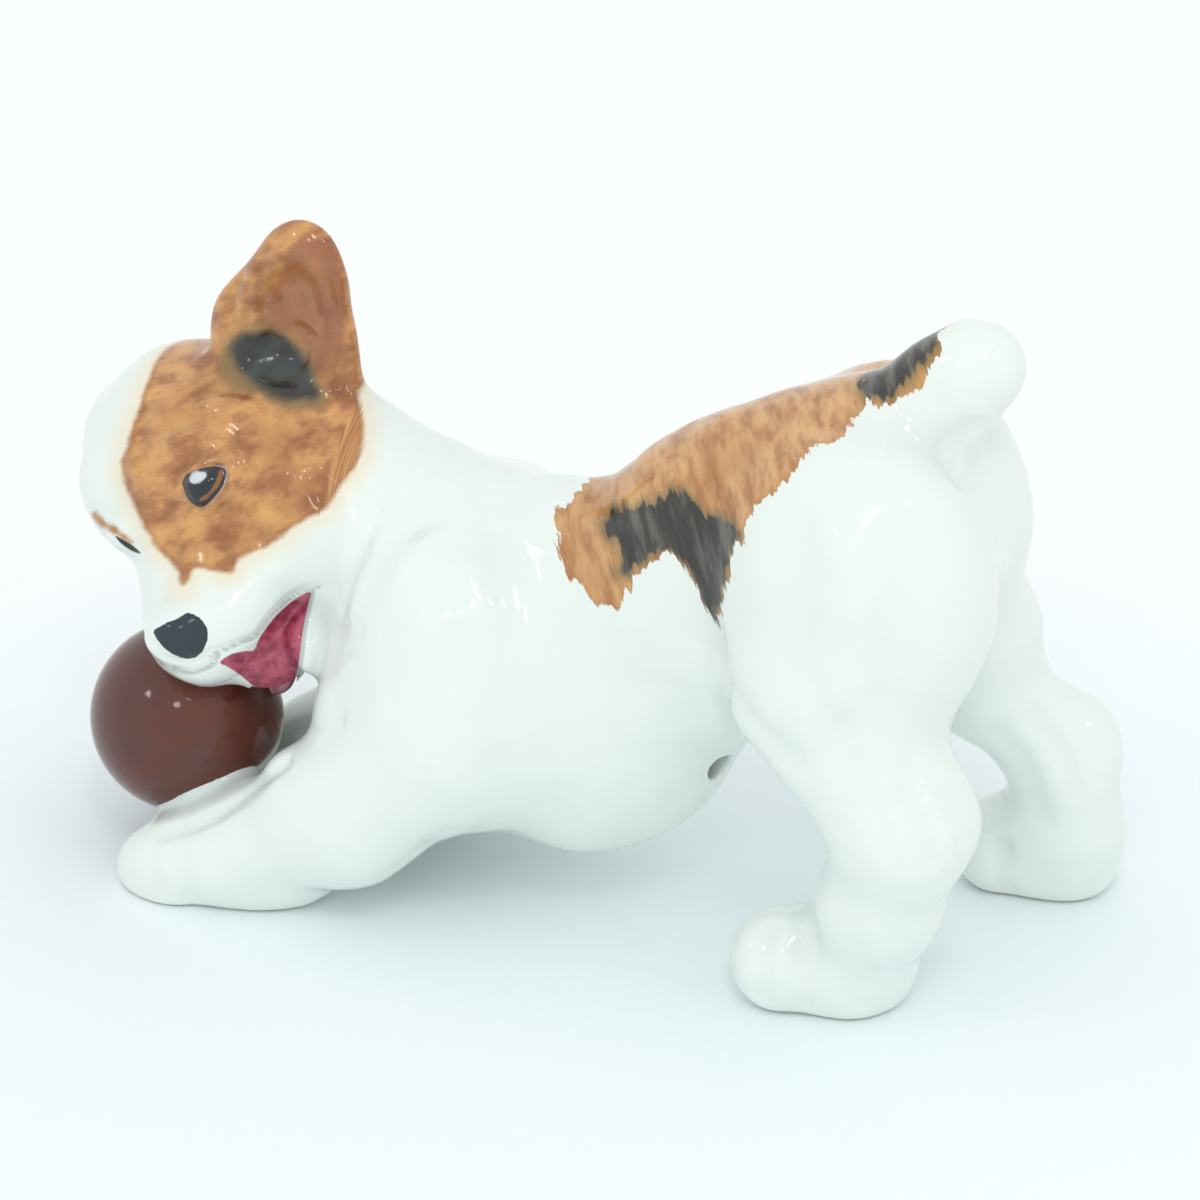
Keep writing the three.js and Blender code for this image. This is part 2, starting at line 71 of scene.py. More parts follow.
LOG = logging.getLogger("china_terrier")
MM = 0.001
Vec = tuple[float, float, float]
Pixel = tuple[float, float]


def unit(v: Sequence[float]) -> np.ndarray:
    """The vector at length one."""
    a = np.asarray(v, float)
    return a / np.linalg.norm(a)


def length(v: np.ndarray) -> np.ndarray:
    """Length of each row."""
    return np.sqrt(np.einsum("ij,ij->i", v, v))


def smooth_step(low: float, high: float, x: np.ndarray) -> np.ndarray:
    """Zero below low, one above high, with a smooth rise between."""
    t = np.clip((x - low) / (high - low), 0, 1)
    return t * t * (3 - 2 * t)


@dataclass(frozen=True)
class PhotoView:
    """The place that the photograph was taken from, in the modeller's frame, in mm.

    A picture point is a pair of pixels in a square picture of side `side`, from its top left.
    """

    azimuth: float = 21.0
    elevation: float = 29.0
    reach: float = 350.0
    pixels_per_mm: float = 10.75
    target: Vec = (0.0, 4.8, 28.0)
    side: float = 1200.0
    clear_before: float = 75.0
    clear_behind: float = 60.0
    search_steps: int = 90
    search_share: float = 0.7

    @property
    def back(self) -> np.ndarray:
        """Unit vector from the target to the camera."""
        a, e = np.radians(self.azimuth), np.radians(self.elevation)
        return np.array([np.sin(a) * np.cos(e), -np.cos(a) * np.cos(e), np.sin(e)])

    @property
    def right(self) -> np.ndarray:
        """Unit vector to the right in the picture."""
        a = np.radians(self.azimuth)
        return np.array([np.cos(a), np.sin(a), 0.0])

    @property
    def up(self) -> np.ndarray:
        """Unit vector up in the picture."""
        return np.cross(self.back, self.right)

    @property
    def place(self) -> np.ndarray:
        """Where the camera stands."""
        return np.array(self.target) + self.back * self.reach

    @property
    def focal(self) -> float:
        """Focal length in pixels."""
        return self.pixels_per_mm * self.reach

    def project(self, points: np.ndarray) -> np.ndarray:
        """Picture points of points in space.

        Args:
            points: Rows of x, y, z in mm.

        Returns:
            Rows of two pixels.
        """
        away = points - self.place
        depth = -(away @ self.back)
        half = self.side / 2
        return np.stack([half + self.focal * (away @ self.right) / depth,
                         half - self.focal * (away @ self.up) / depth], -1)

    def ray(self, pixel: Pixel) -> np.ndarray:
        """Unit vector from the camera through a picture point."""
        half = self.side / 2
        across = self.right * (pixel[0] - half) - self.up * (pixel[1] - half)
        return unit(across / self.focal - self.back)

    def touch(self, form: "Form", pixels: Sequence[Pixel]) -> np.ndarray:
        """First points of a form that the camera sees behind picture points.

        Args:
            form: The form that is looked at.
            pixels: Picture points.

        Returns:
            Rows of x, y, z in mm.
        """
        rays = np.array([self.ray(p) for p in pixels])
        along = np.full(len(rays), self.reach - self.clear_before)
        for _ in range(self.search_steps):
            gap = form.distance(self.place + rays * along[:, None])
            along = np.minimum(along + self.search_share * gap, self.reach + self.clear_behind)
        return self.place + rays * along[:, None]


VIEW = PhotoView()


class Form(ABC):
    """A solid given by its distance in mm, negative inside."""

    @abstractmethod
    def distance(self, p: np.ndarray) -> np.ndarray:
        """Distance of each row of p to the surface."""

    def slope(self, p: np.ndarray, step: float = 0.02) -> np.ndarray:
        """Gradient of the distance at each row of p, from the corners of a tetrahedron."""
        ways = np.array([(1, 1, 1), (1, -1, -1), (-1, 1, -1), (-1, -1, 1)], float)
        return sum(self.distance(p + step * way)[:, None] * way for way in ways) / (4 * step)

    def settle(self, p: np.ndarray, turns: int = 4, most: float = 0.6) -> np.ndarray:
        """Moves points onto the surface.

        Args:
            p: Rows of x, y, z near the surface.
            turns: How many steps are taken.
            most: The furthest that a step may go, in mm.

        Returns:
            The moved rows.
        """
        for _ in range(turns):
            slope = self.slope(p)
            steep = np.maximum(length(slope) ** 2, 0.15)
            way = np.clip(self.distance(p) / steep, -most, most)
            p = p - slope * way[:, None]
        return p


STRAIGHT = ((1.0, 0.0, 0.0), (0.0, 1.0, 0.0), (0.0, 0.0, 1.0))


@dataclass(frozen=True)
class Egg(Form):
    """Ellipsoid with half sizes along its own axes."""

    centre: Sequence[float]
    size: Vec
    axes: Sequence[Sequence[float]] = STRAIGHT

    def distance(self, p: np.ndarray) -> np.ndarray:
        """Distance of each row of p to the egg."""
        local = ((p - np.asarray(self.centre)) @ np.asarray(self.axes).T) / np.asarray(self.size)
        near = length(local)
        return near * (near - 1) / np.maximum(length(local / np.asarray(self.size)), 1e-6)


@dataclass(frozen=True)
class Bar(Form):
    """Round bar whose radius runs from one end to the other."""

    start: Sequence[float]
    end: Sequence[float]
    start_radius: float
    end_radius: float

    def distance(self, p: np.ndarray) -> np.ndarray:
        """Distance of each row of p to the bar."""
        start = np.asarray(self.start, float)
        axis = np.asarray(self.end, float) - start
        off = p - start
        along = np.clip(off @ axis / (axis @ axis), 0, 1)
        radius = self.start_radius + (self.end_radius - self.start_radius) * along
        return length(off - along[:, None] * axis) - radius


def soften(a: np.ndarray, b: np.ndarray, k: float) -> np.ndarray:
    """Soft smaller one of two distances, k mm wide."""
    h = np.maximum(k - np.abs(a - b), 0) / k
    return np.minimum(a, b) - h * h * k / 4


@dataclass(frozen=True)
class Blend(Form):
    """Forms joined one after another by a fillet."""

    width: float
    forms: Sequence[Form]

    def distance(self, p: np.ndarray) -> np.ndarray:
        """Distance of each row of p to the joined forms."""
        total = self.forms[0].distance(p)
        for form in self.forms[1:]:
            total = soften(total, form.distance(p), self.width)
        return total


@dataclass(frozen=True)
class Cut(Form):
    """A form with others taken out of it, with soft edges."""

    form: Form
    tools: Sequence[Form]
    width: float = 0.3

    def distance(self, p: np.ndarray) -> np.ndarray:
        """Distance of each row of p to what is left."""
        total = -self.form.distance(p)
        for tool in self.tools:
            total = soften(total, tool.distance(p), self.width)
        return -total


@dataclass(frozen=True)
class HalfSpace(Form):
    """All that lies against a direction from a point."""

    point: Sequence[float]
    normal: Sequence[float]

    def distance(self, p: np.ndarray) -> np.ndarray:
        """Signed distance of each row of p to the plane."""
        return (p - np.asarray(self.point)) @ unit(self.normal)


@dataclass(frozen=True)
class Common(Form):
    """What two or more forms share."""

    forms: Sequence[Form]

    def distance(self, p: np.ndarray) -> np.ndarray:
        """Distance of each row of p to the shared solid."""
        return np.max([form.distance(p) for form in self.forms], axis=0)


LIMB_FILLET = 3.2


def limb(stations: Sequence[tuple[float, float, float, float]]) -> Form:
    """Chain of round bars through stations of x, y, z and radius."""
    pairs = zip(stations[:-1], stations[1:])
    return Blend(LIMB_FILLET, [Bar(a[:3], b[:3], a[3], b[3]) for a, b in pairs])


class Lumps:
    """Smooth seeded noise in space: the slight unevenness of modelled china."""

    def __init__(self, seed: int, pitch: float) -> None:
        """Makes the lattice.

        Args:
            seed: Seed of the random numbers.
            pitch: Distance between lattice points, in mm.
        """
        self.lattice = np.random.RandomState(seed).uniform(-1, 1, (24, 24, 24))
        self.pitch = pitch

    def at(self, p: np.ndarray) -> np.ndarray:
        """Noise from -1 to 1 at each row of p."""
        q = p / self.pitch + 100.5
        whole = np.floor(q).astype(int)
        part = smooth_step(0, 1, q - whole)
        shares = [(1 - part[:, n], part[:, n]) for n in range(3)]
        places = [(whole[:, n] % 24, (whole[:, n] + 1) % 24) for n in range(3)]
        total = np.zeros(len(p))
        for i, j, k in np.ndindex(2, 2, 2):
            values = self.lattice[places[0][i], places[1][j], places[2][k]]
            total += shares[0][i] * shares[1][j] * shares[2][k] * values
        return total


def curve_through(points: Sequence[Sequence[float]], closed: bool, steps: int = 8) -> np.ndarray:
    """Smooth curve through points, each four of them giving a cubic piece.

    Args:
        points: The points, of two or three numbers each.
        closed: Whether the last point leads back to the first.
        steps: How many straight bits each piece has.

    Returns:
        Rows of points along the curve.
    """
    p = np.asarray(points, float)
    if closed:
        p = np.concatenate([p[-1:], p, p[:2]])
    else:
        p = np.concatenate([2 * p[:1] - p[1:2], p, 2 * p[-1:] - p[-2:-1]])
    rows = []
    for a, b, c, d in zip(p[:-3], p[1:-2], p[2:-1], p[3:]):
        for t in np.arange(steps) / steps:
            rows.append(0.5 * (2 * b + (c - a) * t + (2 * a - 5 * b + 4 * c - d) * t ** 2
                               + (3 * b - a - 3 * c + d) * t ** 3))
    if not closed:
        rows.append(p[-2])
    return np.array(rows)


def far_from(line: np.ndarray, p: np.ndarray) -> np.ndarray:
    """Distance of each row of p to a line of straight bits."""
    best = np.full(len(p), 1e9)
    for a, b in zip(line[:-1], line[1:]):
        axis = b - a
        along = np.clip((p - a) @ axis / max(axis @ axis, 1e-12), 0, 1)
        best = np.minimum(best, length(p - a - along[:, None] * axis))
    return best


OUTSIDE = -9.0


@dataclass(frozen=True)
class Outline:
    """Closed outline in the picture, smooth through its points."""

    points: Sequence[Pixel]
    margin: float = 40.0

    def inside(self, pixels: np.ndarray) -> np.ndarray:
        """How far each picture point lies inside, in mm on the object; negative outside."""
        ring = curve_through(self.points, True, 5)
        ring = np.concatenate([ring, ring[:1]])
        low, high = ring.min(0) - self.margin, ring.max(0) + self.margin
        near = np.flatnonzero(((pixels > low) & (pixels < high)).all(1))
        total = np.full(len(pixels), OUTSIDE)
        total[near] = self.measure(ring, pixels[near])
        return total

    def measure(self, ring: np.ndarray, pixels: np.ndarray) -> np.ndarray:
        """The same for a ring of points."""
        within = np.zeros(len(pixels), bool)
        for a, b in zip(ring[:-1], ring[1:]):
            spans = (a[1] > pixels[:, 1]) != (b[1] > pixels[:, 1])
            rise = b[1] - a[1] if b[1] != a[1] else 1e-9
            cross = a[0] + (pixels[:, 1] - a[1]) * (b[0] - a[0]) / rise
            within ^= spans & (pixels[:, 0] < cross)
        gap = far_from(ring, pixels) / VIEW.pixels_per_mm
        return np.where(within, gap, -gap)


@dataclass(frozen=True)
class Stroke:
    """A modelling tool's stroke through picture points: pressed in, or raised below zero."""

    pixels: Sequence[Pixel]
    width: float
    depth: float
    both_sides: bool = False


Mirror = Callable[[np.ndarray], np.ndarray]
STROKE_REACH = 2.6
STROKE_SLACK = 0.1


@dataclass
class Relief(Form):
    """A form with strokes and lumps worked into its surface."""

    form: Form
    lumps: Sequence[tuple[Lumps, float]] = ()
    lines: list[tuple[np.ndarray, Stroke]] = field(default_factory=list)

    def lay(self, strokes: Sequence[Stroke], mirror: Mirror) -> "Relief":
        """Finds where strokes run on the form.

        Args:
            strokes: The strokes.
            mirror: Brings points to the other side, for strokes that are on both.

        Returns:
            The relief itself.
        """
        curves = [curve_through(stroke.pixels, False, 4) for stroke in strokes]
        found = VIEW.touch(self.form, [tuple(q) for q in np.concatenate(curves)])
        lines = list(zip(np.split(found, np.cumsum([len(c) for c in curves])[:-1]), strokes))
        lines += [(mirror(line), stroke) for line, stroke in lines if stroke.both_sides]
        settled = self.form.settle(np.concatenate([line for line, _ in lines]), 12, 1.5)
        good = np.abs(self.form.distance(settled)) < STROKE_SLACK
        ends = np.cumsum([len(line) for line, _ in lines])[:-1]
        for line, fine, (_, stroke) in zip(np.split(settled, ends), np.split(good, ends), lines):
            if fine.sum() > 1:
                self.lines.append((line[fine], stroke))
        return self

    def distance(self, p: np.ndarray) -> np.ndarray:
        """Distance of each row of p to the worked surface."""
        total = self.form.distance(p)
        for line, stroke in self.lines:
            reach = STROKE_REACH * stroke.width
            low, high = line.min(0) - reach, line.max(0) + reach
            near = np.flatnonzero(((p > low) & (p < high)).all(1))
            if len(near):
                away = far_from(line, p[near]) / stroke.width
                total[near] += stroke.depth * np.exp(-away ** 2)
        for lumps, height in self.lumps:
            total += height * lumps.at(p)
        return total


CELL_CORNERS = np.array([(i, j, k) for i in (0, 1) for j in (0, 1) for k in (0, 1)])


def measure(form: Form, rows: np.ndarray, batch: int = 40000) -> np.ndarray:
    """Distance of many rows to a form, a batch at a time."""
    parts = [form.distance(rows[n:n + batch]) for n in range(0, len(rows), batch)]
    return np.concatenate(parts)


def sample(form: Form, low: Vec, shape: tuple[int, int, int], cell: float,
           block: int = 4) -> np.ndarray:
    """Distances on a lattice, found point by point only in blocks near the surface.

    Args:
        form: The form.
        low: The lattice's lowest point.
        shape: Number of points each way.
        cell: Distance between neighbours in mm.
        block: Points along the edge of a block.

    Returns:
        The distances.
    """
    counts = [-(-n // block) for n in shape]
    lines = [a + cell * (block * np.arange(n) + (block - 1) / 2) for a, n in zip(low, counts)]
    middles = np.stack(np.meshgrid(*lines, indexing="ij"), -1).reshape(-1, 3)
    value = measure(form, middles).reshape(counts)
    for axis in range(3):
        value = np.repeat(value, block, axis)
    value = value[:shape[0], :shape[1], :shape[2]].copy()
    near = np.abs(value) < 1.2 * block * cell
    value[near] = measure(form, np.array(low) + cell * np.argwhere(near))
    return value


def skin(form: Form, low: Vec, high: Vec, cell: float) -> tuple[np.ndarray, np.ndarray]:
    """Closed mesh of a form, with one vertex in each cell that its surface crosses.

    Args:
        form: The form.
        low: Lowest corner of the box that holds it.
        high: Highest corner of that box.
        cell: Size of a cell in mm.

    Returns:
        Rows of vertices in mm, and rows of four vertex numbers.
    """
    shape = tuple(int((b - a) / cell) + 2 for a, b in zip(low, high))
    value = sample(form, low, shape, cell)
    solid = value < 0
    cells = tuple(n - 1 for n in shape)
    total = np.zeros(cells + (3,))
    count = np.zeros(cells)
    quads = []
    number = np.full(cells, -1)
    crossed = np.zeros(cells, bool)
    for corner in CELL_CORNERS:
        part = solid[tuple(slice(c, c + n) for c, n in zip(corner, cells))]
        crossed |= part != solid[:-1, :-1, :-1]
    number[crossed] = np.arange(crossed.sum())
    for axis in range(3):
        b, c = [(axis + 1) % 3, (axis + 2) % 3]
        here = [slice(None)] * 3
        there = [slice(None)] * 3
        here[axis], there[axis] = slice(0, -1), slice(1, None)
        first, second = value[tuple(here)], value[tuple(there)]
        change = (first < 0) != (second < 0)
        at = np.argwhere(change)
        share = first[change] / (first[change] - second[change])
        point = at.astype(float)
        point[:, axis] += share
        for db in (0, 1):
            for dc in (0, 1):
                owner = at.copy()
                owner[:, b] -= db
                owner[:, c] -= dc
                fine = ((owner >= 0) & (owner < np.array(cells))).all(1)
                key = tuple(owner[fine].T)
                np.add.at(total, key, point[fine])
                np.add.at(count, key, 1)
        corners = []
        for db, dc in ((1, 1), (0, 1), (0, 0), (1, 0)):
            owner = at.copy()
            owner[:, b] -= db
            owner[:, c] -= dc
            corners.append(number[tuple(owner.T)])
        ring = np.stack(corners, 1)
        inward = first[change] < 0
        quads.append(np.where(inward[:, None], ring, ring[:, ::-1]))
    mean = total[crossed] / count[crossed][:, None]
    points = np.array(low) + mean * cell
    return form.settle(points, 3, 0.5 * cell), np.concatenate(quads)


def refine(p: np.ndarray, faces: Sequence[Sequence[int]],
           chosen: np.ndarray) -> tuple[np.ndarray, list[list[int]]]:
    """Splits each chosen face in four.

    Args:
        p: Rows of vertices.
        faces: Vertex numbers of each face.
        chosen: Whether each face is split.

    Returns:
        The new vertices and faces.
    """
    mesh = bpy.data.meshes.new("refined")
    mesh.from_pydata(p.tolist(), [], [list(map(int, f)) for f in faces])
    work = bmesh.new()
    work.from_mesh(mesh)
    work.faces.ensure_lookup_table()
    edges = {edge for n in np.flatnonzero(chosen) for edge in work.faces[int(n)].edges}
    ordered = sorted(edges, key=lambda edge: edge.index)
    bmesh.ops.subdivide_edges(work, edges=ordered, cuts=1, use_grid_fill=True)
    work.verts.index_update()
    points = np.array([v.co[:] for v in work.verts])
    rings = [[v.index for v in face.verts] for face in work.faces]
    work.free()
    bpy.data.meshes.remove(mesh)
    return points, rings


class Head:
    """The head's own frame, and the form of the head with its ears, jaws and neck."""

    centre = np.array([-37.05, 3.76, 34.8])
    forward = unit([-0.004, -0.974, -0.228])
    left = unit([0.836, -0.129, 0.533])
    up = unit([-0.549, -0.189, 0.814])

    @classmethod
    def axes(cls) -> np.ndarray:
        """Forward, left and up as rows."""
        return np.array([cls.forward, cls.left, cls.up])

    @classmethod
    def at(cls, forward: float, left: float, up: float) -> np.ndarray:
        """Point of the head, from the middle of the skull."""
        return cls.centre + np.array([forward, left, up]) @ cls.axes()

    @classmethod
    def mirror(cls, p: np.ndarray) -> np.ndarray:
        """Each row of p on the other half of the head."""
        side = (p - cls.centre) @ cls.left
        return p - 2 * side[:, None] * cls.left


@dataclass(frozen=True)
class BallSculpt:
    """The ball between the forepaws, in mm."""

    centre: Vec = (-38.5, -5.4, 13.0)
    radius: float = 9.3
    bed: float = 0.4

    def form(self) -> Form:
        """The ball itself, very slightly uneven."""
        egg = Egg(self.centre, (self.radius - 0.05,) * 3)
        return Relief(egg, [(Lumps(5, 6.0), 0.05)])

    def core(self) -> Form:
        """A ball under the surface of the real one, which slip is laid against."""
        return Egg(self.centre, (self.radius - self.bed,) * 3)


@dataclass(frozen=True)
class BodySculpt:
    """Trunk, legs and tail, in mm.

    The solids have these masses too, apart from throat, toes, wrist and slip. The loin and the
    right hind leg lie up to 2.6 mm off those of the solids, where the photograph asks for it.
    """

    chest: tuple[Vec, Vec] = ((-1, 0, 23.4), (17.5, 12.5, 18.6))
    loin: tuple[Vec, Vec] = ((14.2, 0, 36.2), (12.2, 11, 14.5))
    rump: tuple[Vec, Vec] = ((26, 0, 43.5), (13.5, 12.5, 12.5))
    breast: tuple[Vec, Vec] = ((-17.2, -4, 19.5), (7, 8, 9))
    throat: tuple[Vec, Vec] = ((-19.7, -11.5, 20.3), (1.5, 1.6, 2.6))
    toes: tuple[Vec, Vec] = ((-37.2, -14.4, 1.5), (4.3, 3.9, 3.4))
    wrist: tuple[Vec, Vec] = ((-26.4, -12.4, 2.5), (5.6, 3.2, 3.0))
    slip: tuple[Vec, Vec] = ((-23.6, -13.2, 14.2), (1.3, 1.3, 1.2))
    neck: tuple[Vec, Vec, float, float] = ((-13, 0, 31), (-30, 3.5, 36.5), 10.6, 10.0)
    shoulder: Vec = (11, 8, 14)
    haunch: Vec = (12, 9, 14)
    out: float = 8.5
    leg_fillet: float = 3.0
    trunk_fillet: float = 6.0
    joint_fillet: float = 3.5
    slip_fillet: float = 2.6
    slip_drop: float = 1.5

    def foreleg(self, side: int, reach: Vec) -> Form:
        """One foreleg with its shoulder.

        Args:
            side: -1 for the dog's left, 1 for its right.
            reach: How far the wrist joint, paw and toes lie across.

        Returns:
            The form of the leg.
        """
        arm = limb([(-9, side * 9.5, 20.8, 8.9), (-19, reach[0], 10.7, 6.8),
                    (-29, reach[1], 4.7, 5.2), (-34.6, reach[2], 3.4, 4.3)])
        return Blend(self.leg_fillet, [Egg((-9, side * self.out, 24), self.shoulder), arm])

    def hind_leg(self, x: float, side: int, stations: Sequence[tuple]) -> Form:
        """One hind leg.

        Args:
            x: Where its haunch lies along the dog.
            side: -1 for the dog's left, 1 for its right.
            stations: x, y, z and radius down the leg.

        Returns:
            The form of the leg.
        """
        haunch = Egg((x, side * self.out, 41), self.haunch)
        return Blend(self.leg_fillet, [haunch, limb(stations)])

    def neck_form(self) -> Form:
        """The neck, which the head shares."""
        return Bar(*self.neck)

    def form(self, ball: BallSculpt) -> Form:
        """The whole body, with slip laid between the left paw and the ball."""
        front = Blend(self.leg_fillet, [Egg(*self.chest), Egg(*self.breast)])
        trunk = Blend(self.trunk_fillet,
                      [front, Egg(*self.loin), Egg(*self.rump), self.neck_form()])
        left_fore = self.foreleg(-1, (-12, -12.7, -15))
        right_fore = self.foreleg(1, (9.5, 6.8, 4.7))
        left_hind = self.hind_leg(29, -1, [
            (27, -10.5, 33, 8.5), (35.2, -13, 22, 5.9), (32.6, -11.2, 11.7, 5),
            (30, -8.8, 4, 4.9), (23.9, -11.4, 3.9, 4.9)])
        right_hind = self.hind_leg(27.5, 1, [
            (30, 11.2, 33.5, 8.4), (33.6, 12, 27.5, 6.2), (35, 12, 22.8, 4.8),
            (42.6, 14, 16, 4.7), (43, 14.8, 8, 4.7), (42.8, 16.4, 3.9, 4.8),
            (37.2, 14.6, 3.8, 4.8)])
        tail = limb([(28, 0, 51.5, 5.3), (33.5, 0.8, 57.3, 4.3), (35.7, 1, 59.6, 3.2),
                     (37.1, 1, 60.2, 2.3)])
        body = Blend(self.joint_fillet,
                     [trunk, left_fore, right_fore, left_hind, right_hind, tail])
        body = Blend(self.leg_fillet,
                     [body, Egg(*self.throat), Egg(*self.toes), Egg(*self.wrist)])
        level = ball.centre[2] - self.slip_drop
        low_ball = Common([ball.core(), HalfSpace((0, 0, level), (0, 0, 1))])
        return Blend(self.slip_fillet, [body, low_ball, Egg(*self.slip)])


BODY_STROKES = (
    Stroke(((498, 505), (506, 560), (507, 620), (504, 690), (492, 760)), 2.6, 0.48, True),
    Stroke(((716, 632), (722, 665), (733, 695), (752, 725), (790, 760)), 1.7, 0.6, True),
    Stroke(((700, 660), (706, 700), (722, 738)), 2.2, -0.25, True),
    Stroke(((668, 690), (690, 735), (725, 765)), 2, 0.33),
    Stroke(((792, 540), (800, 590), (792, 650)), 2.6, 0.6, True),
    Stroke(((838, 560), (846, 620), (838, 690)), 3.0, -0.5, True),
    Stroke(((812, 690), (838, 730), (858, 772)), 1.7, 0.55),
    Stroke(((905, 800), (915, 830), (927, 862)), 1, 0.83),
    Stroke(((930, 800), (944, 832), (948, 860)), 1.1, -0.45),
    Stroke(((878, 808), (888, 835), (896, 862)), 1.3, 0.45),
    Stroke(((768, 930), (761, 960), (759, 996)), 1.1, 0.75),
    Stroke(((812, 925), (806, 962), (806, 1004)), 1.2, 0.42),
    Stroke(((858, 950), (862, 978), (860, 1002)), 1.2, 0.33),
    Stroke(((784, 918), (778, 950)), 1.6, -0.3),
    Stroke(((1035, 720), (1060, 750), (1075, 790)), 1.2, 0.57),
    Stroke(((1082, 722), (1093, 748), (1095, 778)), 1.1, 0.45),
    Stroke(((1000, 735), (1030, 775), (1042, 815)), 1.4, 0.38),
    Stroke(((1005, 848), (1000, 870), (1004, 888)), 1, 0.45),
    Stroke(((960, 478), (955, 455), (962, 438), (974, 430)), 1.1, 0.75),
    Stroke(((930, 398), (944, 425), (952, 446)), 2, 0.38),
    Stroke(((162, 834), (190, 826), (220, 812), (252, 790), (284, 764)), 0.8, 0.6),
    Stroke(((395, 868), (418, 850), (448, 832)), 1.4, 0.2),
    Stroke(((150, 856), (152, 875), (158, 892)), 1, 0.33),
    Stroke(((176, 858), (180, 878), (186, 896)), 1.1, 0.3),
    Stroke(((395, 545), (420, 570), (440, 610)), 3.2, -0.33, True),
    Stroke(((455, 560), (462, 610), (470, 660)), 2.2, 0.33, True),
    Stroke(((400, 580), (416, 556), (436, 540)), 1.5, -0.35),
    Stroke(((463, 568), (476, 588), (490, 612)), 1.6, -0.35),
    Stroke(((408, 648), (430, 628), (458, 615)), 1.5, -0.3),
    Stroke(((430, 585), (448, 600), (462, 628)), 1.5, 0.3),
    Stroke(((376, 522), (366, 552), (352, 582), (342, 606)), 1.1, 0.35),
    Stroke(((386, 518), (376, 552), (362, 586), (352, 612)), 1.1, -0.3),
    Stroke(((820, 480), (850, 500), (872, 488)), 1.8, 0.3),
    Stroke(((846, 560), (862, 590), (858, 612)), 1.4, -0.3),
    Stroke(((900, 540), (912, 600), (900, 660)), 2.2, 0.5),
    Stroke(((885, 700), (905, 745), (912, 780)), 2.0, 0.35),
)


